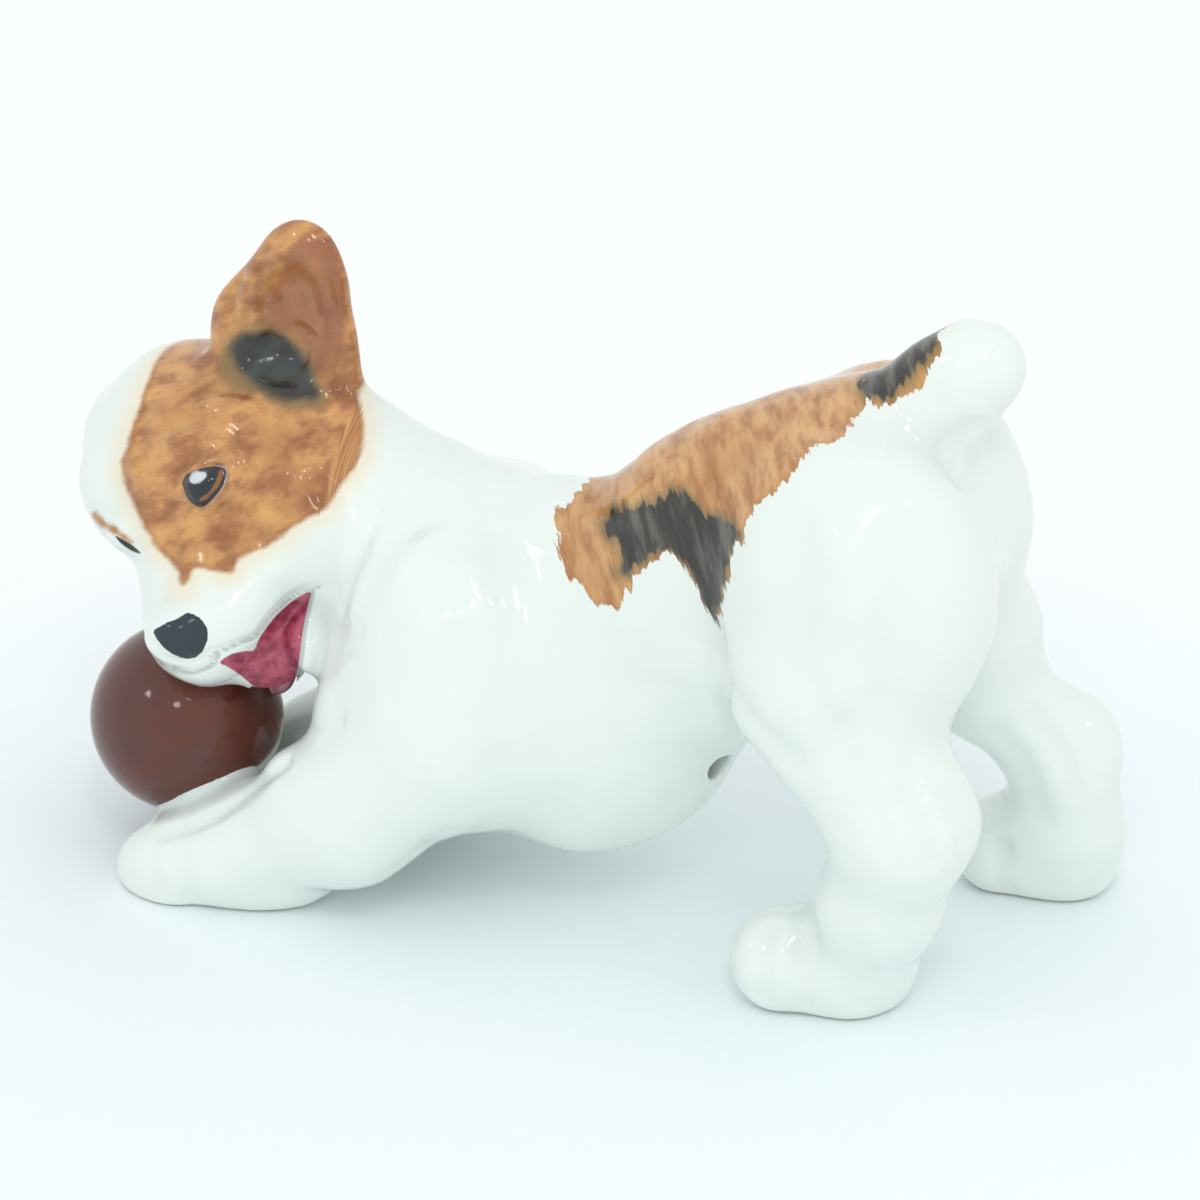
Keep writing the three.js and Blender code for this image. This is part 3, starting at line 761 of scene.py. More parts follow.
@dataclass(frozen=True)
class HeadSculpt:
    """Skull, muzzle, ears and jaws, in mm.

    The solids have these masses too, apart from far_brow, far_temple and jowl. The chin, the
    near ear and the far flap are up to about 2 mm larger than theirs.
    """

    skull: Vec = (12.6, 12.3, 11.8)
    crown: Vec = (8, 7.5, 6.4)
    cheek: Vec = (8, 6.5, 6.5)
    lip: Vec = (6.5, 4.6, 4)
    nose: Vec = (2.7, 3.1, 2.7)
    near_eye: tuple[Vec, Vec] = ((9.7, 6.1, 4.3), (1.5, 2.2, 1.9))
    far_eye: tuple[Vec, Vec] = ((10.2, -5.5, 3.1), (1.2, 1.9, 1.6))
    far_lip: tuple[Vec, Vec] = ((15, -3.4, -8), (3.2, 3, 2.8))
    far_chin: tuple[Vec, Vec] = ((14.8, -3, -9.6), (3, 3, 2.6))
    flap: Vec = (6.8, 3.9, 7.6)
    far_brow: tuple[Vec, Vec] = ((5.6, -7.8, 3.8), (2.8, 2.8, 2.8))
    far_temple: tuple[Vec, Vec] = ((4.2, -7.8, 6.2), (2.3, 2.2, 2.6))
    jowl: tuple[Vec, Vec] = ((12.7, 7.6, -13.4), (3.4, 2.4, 3.4))
    ear_base: tuple[Vec, Vec] = ((-31.1, 4.3, 49), (7.5, 2.8, 8.6))
    ear_tip: tuple[Vec, Vec] = ((-29.4, 4.3, 55.7), (4.5, 2.4, 6.4))
    low_dish: tuple[Vec, Vec] = ((-30.0, 0.9, 51), (4.5, 2.4, 5.8))
    high_dish: tuple[Vec, Vec] = ((-29.1, 1.4, 54.7), (2.7, 2.2, 4.6))
    ear_lean: float = 0.171
    skull_fillet: float = 4.0
    detail_fillet: float = 1.2
    ear_fillet: float = 2.5
    ear_joint: float = 3.0
    dish_joint: float = 2.0
    dish_edge: float = 1.0
    jaw_joint: float = 3.0
    chin_fillet: float = 2.0
    lip_crease: float = 0.8
    mouth_slope: float = 0.23

    def ear_axes(self) -> np.ndarray:
        """The upright ear's own axes, leaning back."""
        c, s = np.cos(self.ear_lean), np.sin(self.ear_lean)
        return np.array([[c, 0, -s], [0, 1, 0], [s, 0, c]])

    def face(self) -> Form:
        """The head above the line of the mouth, with its ears."""
        at, axes = Head.at, Head.axes()
        parts = [Egg(at(-1, 0, 0), self.skull, axes), Egg(at(-3, -4.5, 6.2), self.crown, axes)]
        parts += [Egg(at(2, side * 5.5, -6), self.cheek, axes) for side in (1, -1)]
        parts += [Egg(at(10.5, side * 4, -6.6), self.lip, axes) for side in (1, -1)]
        parts += [Bar(at(5, 0, -4), at(15.8, 0, -6.2), 8.4, 4.9)]
        small = [Egg(at(*place), size, axes)
                 for place, size in (self.far_lip, self.near_eye, self.far_eye)]
        parts += [Egg(at(*place), size, axes) for place, size in (self.far_brow, self.far_temple)]
        nose = Egg(at(18.6, 0, -4.2), self.nose, axes)
        head = Blend(self.detail_fillet, [Blend(self.skull_fillet, parts), nose, *small])
        lean = self.ear_axes()
        ear = Blend(self.ear_joint, [Egg(*self.ear_base, lean), Egg(*self.ear_tip, lean)])
        dish = Blend(self.dish_joint, [Egg(*self.low_dish, lean), Egg(*self.high_dish, lean)])
        flap = Egg(at(-2.5, -10, 3.6), self.flap, axes)
        return Blend(self.ear_fillet, [head, Cut(ear, [dish], self.dish_edge), flap])

    def mouth_plane(self, shift: float) -> HalfSpace:
        """Plane along the mouth; the upper lip is on its inner side, shift mm clear of it."""
        down = unit(self.mouth_slope * Head.forward - Head.up)
        return HalfSpace(Head.at(19.8, 0, -7.6) - shift * down, down)

    def jaw(self) -> Form:
        """Chin and full lower lip."""
        at = Head.at
        sides = [Egg(at(*place), size, Head.axes()) for place, size in (self.far_chin, self.jowl)]
        chin = Blend(self.chin_fillet, [*sides, Blend(self.jaw_joint, [
            Bar(at(3, 1, -10.5), at(15.8, 0, -7.2), 6, 4.4),
            Bar(at(5, 2.5, -12), at(12.8, 2.2, -12.4), 5.2, 3.9)])])
        plane = self.mouth_plane(0)
        return Common([chin, HalfSpace(plane.point, -plane.normal)])

    def form(self) -> Form:
        """The whole head without the neck, its jaws closed on each other."""
        return Blend(self.lip_crease, [self.face(), self.jaw()])


@dataclass(frozen=True)
class Joined(Form):
    """Head and body joined: softly at the neck, with a crease where the jaw meets the chest."""

    body: Form
    head: Form
    crease: float = 0.9
    fillet: float = 4.0
    jaw_level: float = 25.0
    neck_level: float = 33.0

    def distance(self, p: np.ndarray) -> np.ndarray:
        """Distance of each row of p to the joined forms."""
        rise = smooth_step(self.jaw_level, self.neck_level, p[:, 2])
        width = self.crease + (self.fillet - self.crease) * rise
        return soften(self.body.distance(p), self.head.distance(p), width)


HEAD_STROKES = (
    Stroke(((150, 382), (134, 420), (130, 448), (139, 475), (151, 499)), 0.9, -0.22),
    Stroke(((142, 400), (140, 440), (150, 478), (163, 505)), 1.2, 0.28),
    Stroke(((160, 432), (182, 420), (206, 421), (230, 436)), 0.9, 0.3),
    Stroke(((170, 450), (190, 440), (212, 444), (232, 462)), 1.2, -0.28),
    Stroke(((206, 404), (228, 399), (252, 404)), 0.7, -0.25),
    Stroke(((204, 394), (228, 389), (250, 392)), 0.8, 0.28),
    Stroke(((184, 474), (200, 462), (219, 461), (231, 470)), 0.55, -0.3),
    Stroke(((231, 470), (230, 486), (220, 500), (205, 511), (190, 506)), 0.55, -0.26),
    Stroke(((182, 484), (188, 473), (202, 467), (217, 466), (226, 470), (225, 483), (217, 495),
            (206, 506), (197, 507), (188, 500), (182, 486)), 0.35, 0.22),
    Stroke(((237, 488), (242, 512), (246, 534), (258, 552), (270, 572)), 0.9, -0.3),
    Stroke(((262, 500), (268, 530), (260, 552)), 1.4, 0.22),
    Stroke(((168, 520), (172, 548), (166, 575)), 1.4, 0.28),
    Stroke(((312, 478), (317, 488), (321, 499)), 0.9, 0.55),
    Stroke(((300, 478), (304, 492), (312, 505)), 0.9, -0.25),
    Stroke(((330, 512), (322, 545), (326, 580)), 1.8, 0.3),
    Stroke(((236, 345), (226, 362), (230, 385)), 1.0, 0.25),
    Stroke(((330, 335), (342, 362), (338, 388)), 0.8, 0.35),
    Stroke(((262, 262), (266, 290), (282, 315), (300, 330)), 0.8, 0.32),
    Stroke(((240, 275), (233, 302), (238, 326)), 0.8, 0.28),
    Stroke(((330, 262), (338, 300), (338, 330)), 0.8, 0.25),
    Stroke(((292, 322), (304, 318), (316, 326)), 0.8, -0.3),
    Stroke(((270, 342), (284, 352), (300, 356)), 1.0, 0.4),
    Stroke(((152, 640), (160, 652), (172, 660), (188, 662), (204, 658), (212, 652)), 0.4, 0.3),
    Stroke(((209, 656), (224, 650), (240, 643), (256, 636), (270, 618), (286, 602), (304, 592),
            (320, 586)), 0.38, 0.42),
    Stroke(((176, 670), (190, 673), (203, 669), (214, 664)), 0.32, 0.3),
    Stroke(((214, 664), (218, 656), (222, 650)), 0.3, 0.22),
    Stroke(((166, 642), (172, 645)), 0.6, 0.3),
    Stroke(((194, 640), (198, 634)), 0.6, 0.25),
    Stroke(((230, 600), (250, 590), (275, 570)), 2.2, -0.2),
)


class Mark(Enum):
    """Painted marks. Each is a mesh attribute: how far inside the mark a point lies, in mm."""

    BROWN = "brown_mark"
    HALO = "cream_halo"
    BLACK = "black_mark"
    GOLD = "green_gold"
    FRINGE = "orange_fringe"
    NOSE = "nose_mark"
    EYE = "eye_mark"
    IRIS = "iris_mark"
    GLINT = "glint_mark"
    LINE = "fine_line"
    ROSE = "rose_mark"
    SOLE = "bare_sole"
    # Brown stained edge of the vent, and painted shade inside the hole.
    STAIN_AND_SHADE = "vent_stain_and_shade"
    # Glaze pooling tint and painted shade, darker in creases.
    POOL_AND_SHADE = "glaze_pool_and_shade"

    @property
    def nowhere(self) -> float:
        """Value where the mark is not."""
        return 0.0 if self is Mark.POOL_AND_SHADE else OUTSIDE


HEAD_PATCH = Outline((
    (212, 330), (165, 350), (148, 382), (131, 430), (122, 469), (129, 493), (142, 523), (161, 552),
    (176, 568), (181, 585), (190, 580), (198, 568), (230, 573), (240, 558), (262, 549), (284, 534),
    (307, 519), (326, 508), (342, 484), (358, 462), (364, 433), (360, 400), (350, 360),
    (290, 330)))
EAR_PATCH = Outline((
    (206, 350), (200, 300), (225, 250), (260, 212), (305, 198), (348, 212), (366, 260), (374, 330),
    (364, 385), (335, 400), (290, 392), (240, 380)))
EAR_INNER = Outline((
    (268, 318), (282, 268), (300, 236), (322, 240), (338, 268), (346, 318), (340, 362), (322, 372),
    (300, 340)))
FAR_EYE = Outline((
    (114, 535), (123, 539), (134, 546), (142, 554), (133, 552), (121, 544)))
FAR_LID = Outline((
    (92, 517), (104, 528), (118, 536), (132, 543), (126, 536), (110, 524), (96, 512)))
PAINTED_BALL = Outline((
    (60, 600), (310, 600), (300, 690), (284, 716), (279, 740), (264, 761), (240, 781), (214, 796),
    (188, 806), (165, 810), (148, 808), (130, 830), (60, 830)))
EAR_BLACK = Outline((
    (236, 338), (256, 331), (279, 334), (293, 344), (306, 360), (314, 378), (318, 396), (300, 400),
    (282, 399), (264, 392), (248, 379), (235, 366), (230, 350)))
EAR_GOLD = Outline((
    (212, 362), (232, 340), (270, 345), (318, 380), (332, 400), (322, 418), (296, 412), (262, 400),
    (226, 394)))
BACK_PATCH = Outline((
    (556, 536), (557, 516), (568, 500), (588, 480), (604, 452), (630, 426), (652, 408), (676, 390),
    (713, 368), (769, 360), (817, 364), (868, 366), (872, 396), (858, 419), (843, 438), (813, 453),
    (791, 475), (773, 493), (756, 508), (747, 525), (744, 542), (733, 546), (730, 567), (725, 592),
    (717, 631), (706, 604), (691, 579), (669, 555), (654, 562), (637, 574), (629, 590), (621, 608),
    (602, 606), (584, 591), (569, 575), (560, 556)))
BACK_BLACK = Outline((
    (602, 523), (617, 508), (639, 505), (661, 499), (677, 490), (695, 501), (713, 516), (732, 523),
    (737, 535), (730, 556), (726, 590), (717, 630), (703, 598), (677, 560), (665, 552), (650, 558),
    (636, 567), (624, 578), (615, 573), (620, 556), (610, 538)))
TAIL_BLACK = Outline((
    (857, 388), (865, 372), (882, 352), (905, 336), (932, 330), (939, 344), (930, 360), (914, 372),
    (903, 386), (887, 400), (868, 397)))
TAIL_FRINGE = Outline((
    (862, 392), (890, 366), (932, 338), (942, 348), (932, 368), (921, 390), (894, 404),
    (872, 402)))
NOSE_BLACK = Outline((
    (153, 632), (161, 626), (170, 621), (180, 617), (187, 613), (196, 615), (203, 621), (208, 631),
    (207, 643), (200, 655), (189, 659), (176, 656), (164, 648)))
EYE_EDGE = Outline((
    (182, 482), (187, 474), (200, 468), (217, 466), (226, 470), (225, 482), (217, 495), (206, 506),
    (198, 507), (189, 501), (184, 491)))
EYE_IRIS = Outline((
    (219, 470), (224, 471), (221, 483), (213, 494), (203, 502), (199, 499), (210, 490),
    (216, 480)))
EYE_GLINT = Outline((
    (189, 475), (196, 470), (206, 471), (206, 478), (198, 484), (190, 483)))
MOUTH_EDGE = Outline((
    (220, 662), (232, 654), (245, 651), (254, 650), (260, 637), (272, 620), (285, 607), (297, 598),
    (311, 591), (309, 602), (303, 630), (300, 655), (296, 676), (290, 688), (280, 694), (268, 694),
    (256, 688), (240, 675), (228, 667)))
FINE_LINES = (
    ((209, 656), (224, 650), (240, 643), (256, 636), (270, 618), (286, 602), (304, 592),
     (322, 585)),
    ((174, 669), (190, 673), (203, 669), (214, 664), (218, 656)),
    ((313, 592), (305, 628), (302, 655), (297, 678)),
)


@dataclass(frozen=True)
class Markings:
    """Where the paint goes, worked out for the vertices of a piece."""

    spine_point: Vec = (11.0, 0.5, 42.0)
    spine_way: Vec = (0.8, 0.0, 0.6)
    far_side_pull: float = 2.4
    blaze: float = -3.6
    ear_floor: float = 43.5
    ear_back: float = 4.9
    far_side: float = 2.0
    eyes_ahead: float = 4.0
    lips_ahead: float = 3.0
    mouth_ahead: float = 2.0
    nose_ahead: float = 14.0
    line_width: float = 0.35
    patch_floor: float = 22.0
    tail_floor: float = 48.0

    def over_spine(self, p: np.ndarray) -> np.ndarray:
        """Rows of p, with those on the far side of the back brought over to the near side."""
        way = unit(self.spine_way)
        out = unit(VIEW.back - (VIEW.back @ way) * way)
        behind = np.minimum((p - np.array(self.spine_point)) @ out, 0)
        return p - (1 + self.far_side_pull) * behind[:, None] * out

    def head_marks(self, p: np.ndarray) -> dict[Mark, np.ndarray]:
        """Marks of the head for rows of p."""
        here = VIEW.project(p)
        local = (p - Head.centre) @ Head.axes().T
        side = local[:, 1]
        ear = np.minimum(EAR_PATCH.inside(here), p[:, 2] - self.ear_floor)
        near = np.minimum(HEAD_PATCH.inside(here), side - self.blaze)
        lid = np.minimum(FAR_LID.inside(here), -side - self.far_side)
        front = self.ear_back - p[:, 1]
        black = np.minimum(EAR_BLACK.inside(here), front)
        gold = np.minimum(EAR_GOLD.inside(here), front)
        far_eye = np.minimum(FAR_EYE.inside(here), -side - self.far_side)
        eye = np.maximum(np.minimum(EYE_EDGE.inside(here), side), far_eye)
        iris = np.minimum(EYE_IRIS.inside(here), side)
        glint = np.minimum(EYE_GLINT.inside(here), side)
        ahead = local[:, 0] - self.eyes_ahead
        nose = np.minimum(NOSE_BLACK.inside(here), local[:, 0] - self.nose_ahead)
        lines = [far_from(curve_through(line, False), here) for line in FINE_LINES]
        line = self.line_width - np.min(lines, axis=0) / VIEW.pixels_per_mm
        return {
            Mark.BROWN: np.max([near, ear, lid], axis=0),
            Mark.HALO: near,
            Mark.FRINGE: np.minimum(EAR_INNER.inside(here), front),
            Mark.BLACK: black,
            Mark.GOLD: gold,
            Mark.NOSE: nose,
            Mark.EYE: np.minimum(eye, ahead),
            Mark.IRIS: np.minimum(iris, ahead),
            Mark.GLINT: np.minimum(glint, ahead),
            Mark.LINE: np.where(local[:, 0] > self.lips_ahead, line, OUTSIDE),
            Mark.ROSE: np.minimum(MOUTH_EDGE.inside(here), local[:, 0] - self.mouth_ahead),
        }

    def body_marks(self, p: np.ndarray) -> dict[Mark, np.ndarray]:
        """Marks of the trunk and tail for rows of p."""
        pixels = VIEW.project(self.over_spine(p))
        tail = VIEW.project(p * np.array([1, 0, 1]) - np.abs(p) * np.array([0, 1, 0]))
        high = p[:, 2] - self.patch_floor
        on_tail = np.minimum(TAIL_BLACK.inside(tail), p[:, 2] - self.tail_floor)
        fringe = np.minimum(TAIL_FRINGE.inside(tail), p[:, 2] - self.tail_floor)
        back = np.minimum(BACK_PATCH.inside(pixels), high)
        return {
            Mark.BROWN: np.maximum(back, fringe),
            Mark.BLACK: np.maximum(np.minimum(BACK_BLACK.inside(pixels), high), on_tail),
            Mark.FRINGE: fringe,
        }


def brush_at(p: np.ndarray, way: Pixel) -> np.ndarray:
    """Coordinates for brush marks in mm.

    Args:
        p: Rows of x, y, z in mm.
        way: The way of the brush in the picture, right and down.

    Returns:
        Rows of how far they lie along the brush, across it, and half as far into the picture.
    """
    flat = VIEW.project(p) / VIEW.pixels_per_mm
    way = unit(way)
    depth = 0.5 * (p - np.array(VIEW.target)) @ VIEW.back
    return np.stack([flat @ way, flat @ np.array([-way[1], way[0]]), depth], 1)


CREASE_STEPS = (0.7, 1.6, 3.2)
CREASE_FULL = 1.6


def crease_depth(form: Form, p: np.ndarray) -> np.ndarray:
    """How far each point sits in a crease, from 0 on open surface to 1 deep down: the mask of the
    glaze-pool tint and the painted crease shade.
    """
    out = form.slope(p)
    out /= np.maximum(np.linalg.norm(out, axis=1), 1e-6)[:, None]
    shut = np.zeros(len(p))
    for step in CREASE_STEPS:
        shut += np.clip(1 - form.distance(p + out * step) / step, 0, 1)
    return np.clip(shut / CREASE_FULL, 0, 1)


class Bench:
    """Carries work from the modeller's frame in mm to the row's frame in metres."""

    def __init__(self, ball: BallSculpt) -> None:
        """Finds how far the two frames lie apart, from the ball."""
        low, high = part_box("ball")
        middle = (np.array(low) + np.array(high)) / (2 * MM)
        self.shift = middle - np.array(ball.centre)

    def place(self, p: np.ndarray) -> np.ndarray:
        """Rows of p in metres in the row's frame."""
        return (p + self.shift) * MM

    def make(self, name: str, shell: "Shell") -> bpy.types.Object:
        """Makes a smooth mesh with its painted marks.

        Args:
            name: Name of the piece.
            shell: Its skin.

        Returns:
            The new object.
        """
        mesh = bpy.data.meshes.new(name)
        mesh.from_pydata(self.place(shell.points).tolist(), [], shell.faces)
        smooth = np.arange(len(shell.faces)) < len(shell.faces) - shell.closing
        mesh.polygons.foreach_set("use_smooth", smooth)
        for mark in Mark:
            values = shell.marks.get(mark, np.full(len(shell.points), mark.nowhere))
            layer = mesh.attributes.new(mark.value, "FLOAT", "POINT")
            layer.data.foreach_set("value", values.astype(np.float32))
        layer = mesh.attributes.new("brush_at", "FLOAT_VECTOR", "POINT")
        layer.data.foreach_set("vector", shell.brush.astype(np.float32).ravel())
        if shell.closing:
            corners_at = np.concatenate([np.asarray(face) for face in shell.faces])
            held = np.repeat(smooth, [len(face) for face in shell.faces])
            mesh.normals_split_custom_set((shell.normals[corners_at] * held[:, None]).tolist())
        mesh.update()
        thing = bpy.data.objects.new(name, mesh)
        bpy.context.scene.collection.objects.link(thing)
        return thing


@dataclass
class Shell:
    """A closed skin with what is painted on it. The last `closing` faces only close it."""

    points: np.ndarray
    faces: list[list[int]]
    marks: dict[Mark, np.ndarray]
    brush: np.ndarray
    normals: np.ndarray | None = None
    closing: int = 0

    def keep_normals(self) -> None:
        """Works out the normals of the whole skin, which its parts then share."""
        mesh = bpy.data.meshes.new("whole")
        mesh.from_pydata(self.points.tolist(), [], self.faces)
        flat = np.empty(3 * len(self.points), np.float32)
        mesh.vertex_normals.foreach_get("vector", flat)
        self.normals = flat.reshape(-1, 3)
        bpy.data.meshes.remove(mesh)

    def part(self, chosen: np.ndarray) -> "Shell":
        """Some of the faces as a skin of its own, closed where it was cut off.

        Args:
            chosen: Whether each face belongs to the part.

        Returns:
            The part.
        """
        faces = [face for face, wanted in zip(self.faces, chosen) if wanted]
        edges = {(a, b) for face in faces for a, b in zip(face, face[1:] + face[:1])}
        follow = {b: a for a, b in sorted(edges) if (b, a) not in edges}
        points, closing = [self.points], []
        while follow:
            first, here = next(iter(follow.items()))
            del follow[first]
            loop = [first]
            while here != first:
                loop.append(here)
                here = follow.pop(here)
            middle = len(self.points) + len(points) - 1
            points.append(self.points[loop].mean(0)[None])
            closing += [[a, b, middle] for a, b in zip(loop, loop[1:] + loop[:1])]
        points = np.concatenate(points)
        faces += closing
        used = np.unique(np.concatenate([np.asarray(face) for face in faces]))
        number = np.full(len(points), -1)
        number[used] = np.arange(len(used))
        extra = len(points) - len(self.points)
        pick = np.minimum(used, len(self.points) - 1)
        LOG.info("a part has %d faces and %d cut edges", len(faces), extra)
        return Shell(points[used], [[int(number[v]) for v in face] for face in faces],
                     {mark: values[pick] for mark, values in self.marks.items()},
                     self.brush[pick], self.normals[pick], len(closing))


@dataclass(frozen=True)
class MouthSculpt:
    """The open side of the mouth: a hollow behind its outline, and the tongue in it, in mm."""

    recess: float = 0.9
    thickness: float = 1.3
    dome: float = 0.55
    dome_pixel: Pixel = (266.0, 668.0)
    dome_reach: float = 2.2
    root_pixel: Pixel = (277.0, 641.0)
    root_depth: float = 0.6
    root_reach: float = 0.55
    cut_gap: float = 0.08
    fit_gap: float = 0.02
    cut_front: float = 6.0

    def prism(self, head: Form, gap: float, front: float, back: float) -> "Prism":
        """Space behind the outline, between two depths from the lips."""
        rim = VIEW.touch(head, MOUTH_EDGE.points)
        return Prism(tuple(rim.mean(0)), gap, front, back, self)

    def hollow(self, head: Form) -> Form:
        """What is cut out of the head."""
        return self.prism(head, self.cut_gap, self.cut_front, -self.recess)

    def tongue(self, head: Form) -> Form:
        """The tongue, which fills the floor of the hollow."""
        return self.prism(head, self.fit_gap, -self.recess, -self.recess - self.thickness)


@dataclass(frozen=True)
class Prism(Form):
    """Space inside the mouth's outline, seen from the camera, between two depths."""

    middle: Vec
    gap: float
    front: float
    back: float
    shape: MouthSculpt
    room: float = 9.0

    def distance(self, p: np.ndarray) -> np.ndarray:
        """Distance of each row of p to the space; far from the mouth only a lower bound."""
        off = p - np.array(self.middle)
        into = off @ VIEW.back
        total = length(off) - self.room
        near = np.flatnonzero(total < 0)
        if len(near):
            pixels = VIEW.project(p[near])
            away = -MOUTH_EDGE.inside(pixels) - self.gap
            bulge = self.lift(pixels)
            total[near] = np.max([away, into[near] - self.front - bulge,
                                  self.back + bulge - into[near]], axis=0)
        return total

    def lift(self, pixels: np.ndarray) -> np.ndarray:
        """How far the tongue swells at picture points."""
        scale = VIEW.pixels_per_mm
        high = np.linalg.norm(pixels - np.array(self.shape.dome_pixel), axis=1) / scale
        root = np.linalg.norm(pixels - np.array(self.shape.root_pixel), axis=1) / scale
        return (self.shape.dome * np.exp(-(high / self.shape.dome_reach) ** 2)
                - self.shape.root_depth * np.exp(-(root / self.shape.root_reach) ** 2))


class Value:
    """A number inside a shader. Arithmetic on it adds the Math nodes."""

    def __init__(self, shader: "Nodes", socket: bpy.types.NodeSocket) -> None:
        """Wraps an output socket of a shader's node."""
        self.shader = shader
        self.socket = socket

    def _math(self, operation: str, *values: "Value | float") -> "Value":
        """Result of one Math node."""
        sockets = dict(enumerate(values))
        return Value(self.shader, self.shader.node(
            "ShaderNodeMath", {"operation": operation}, sockets).outputs[0])

    def __add__(self, other: "Value | float") -> "Value":
        """Sum."""
        return self._math("ADD", self, other)

    __radd__ = __add__

    def __sub__(self, other: "Value | float") -> "Value":
        """Difference."""
        return self._math("SUBTRACT", self, other)

    def __rsub__(self, other: float) -> "Value":
        """Difference from a number."""
        return self._math("SUBTRACT", other, self)

    def __mul__(self, other: "Value | float") -> "Value":
        """Product."""
        return self._math("MULTIPLY", self, other)

    __rmul__ = __mul__

    def larger(self, other: "Value | float") -> "Value":
        """The larger of two."""
        return self._math("MAXIMUM", self, other)

    def rise(self, low: float, high: float) -> "Value":
        """Zero below low, one above high, with a smooth rise between."""
        node = self.shader.node("ShaderNodeMapRange", {"interpolation_type": "SMOOTHSTEP"},
                                {"Value": self, "From Min": low, "From Max": high})
        return Value(self.shader, node.outputs[0])


GLAZE_IOR = 1.5
Colour = tuple[float, float, float]
Paint = "Colour | bpy.types.NodeSocket"


def srgb(red: int, green: int, blue: int) -> Colour:
    """Linear colour from picture values of 0 to 255."""
    parts = [v / 255 for v in (red, green, blue)]
    return tuple(v / 12.92 if v < 0.04045 else ((v + 0.055) / 1.055) ** 2.4 for v in parts)


class Nodes:
    """A node tree, made one node at a time."""

    def __init__(self, owner: bpy.types.Material | bpy.types.World, output: str) -> None:
        """Empties the owner's tree but for its output.

        Args:
            owner: The material or world.
            output: Type of the output node.
        """
        owner.use_nodes = True
        self.tree = owner.node_tree
        self.tree.nodes.clear()
        self.out = self.tree.nodes.new(output)

    def node(self, kind: str, settings: dict | None = None,
             sockets: dict | None = None) -> bpy.types.Node:
        """Adds a node.

        Args:
            kind: Type of the node.
            settings: Its properties, set first.
            sockets: Values or links of its inputs, by name or number.

        Returns:
            The node.
        """
        node = self.tree.nodes.new(kind)
        for key, value in (settings or {}).items():
            setattr(node, key, value)
        for key, value in (sockets or {}).items():
            link = value.socket if isinstance(value, Value) else value
            if isinstance(link, bpy.types.NodeSocket):
                self.tree.links.new(link, node.inputs[key])
            elif isinstance(link, tuple) and node.inputs[key].type == "RGBA":
                node.inputs[key].default_value = (*link, 1.0)
            else:
                node.inputs[key].default_value = link
        return node

    def close(self, surface: bpy.types.Node) -> None:
        """Links a node to the output."""
        self.tree.links.new(surface.outputs[0], self.out.inputs["Surface"])


class Shader(Nodes):
    """A material's nodes."""

    def __init__(self, name: str) -> None:
        """Starts a material.

        Args:
            name: Name of the material.
        """
        self.material = bpy.data.materials.new(name)
        super().__init__(self.material, "ShaderNodeOutputMaterial")

    def mark(self, mark: Mark) -> Value:
        """How far inside a painted mark the surface lies, in mm."""
        node = self.node("ShaderNodeAttribute", {"attribute_name": mark.value})
        return Value(self, node.outputs["Fac"])

    def brush(self, along: float, across: float, detail: float = 3.0, seed: float = 0.0) -> Value:
        """Noise drawn out along the brush.

        Args:
            along: Spots per mm along the brush.
            across: Spots per mm across it.
            detail: How many finer layers the noise has.
            seed: Shifts the noise, so that no two alike are used.

        Returns:
            The noise, around one half.
        """
        at = self.node("ShaderNodeAttribute", {"attribute_name": "brush_at"}).outputs["Vector"]
        drawn = self.node("ShaderNodeVectorMath", {"operation": "MULTIPLY_ADD"},
                          {0: at, 1: (along, across, across), 2: (seed, 3 * seed, 7 * seed)})
        noise = self.node("ShaderNodeTexNoise", {}, {
            "Vector": drawn.outputs[0], "Scale": 1.0, "Detail": detail, "Roughness": 0.55})
        return Value(self, noise.outputs["Fac"])

    def mix(self, share: "Value | float", under: Paint, over: Paint) -> bpy.types.NodeSocket:
        """Colour over another, as much as the share says."""
        return self.node("ShaderNodeMix", {"data_type": "RGBA", "clamp_factor": True},
                         {0: share, 6: under, 7: over}).outputs[2]

    def glaze(self, colour: Paint, rough: "Value | float", bump: "Value",
              height: float) -> bpy.types.Material:
        """Closes the material with a glazed surface.

        Args:
            colour: Colour under the glaze.
            rough: Roughness of the glaze.
            bump: Height pattern.
            height: Height of the bump in metres.

        Returns:
            The material.
        """
        relief = self.node("ShaderNodeBump", {}, {
            "Strength": 1.0, "Distance": height, "Height": bump})
        body = self.node("ShaderNodeBsdfPrincipled", {}, {
            "Base Color": colour, "Roughness": rough, "IOR": GLAZE_IOR,
            "Normal": relief.outputs[0]})
        self.close(body)
        return self.material


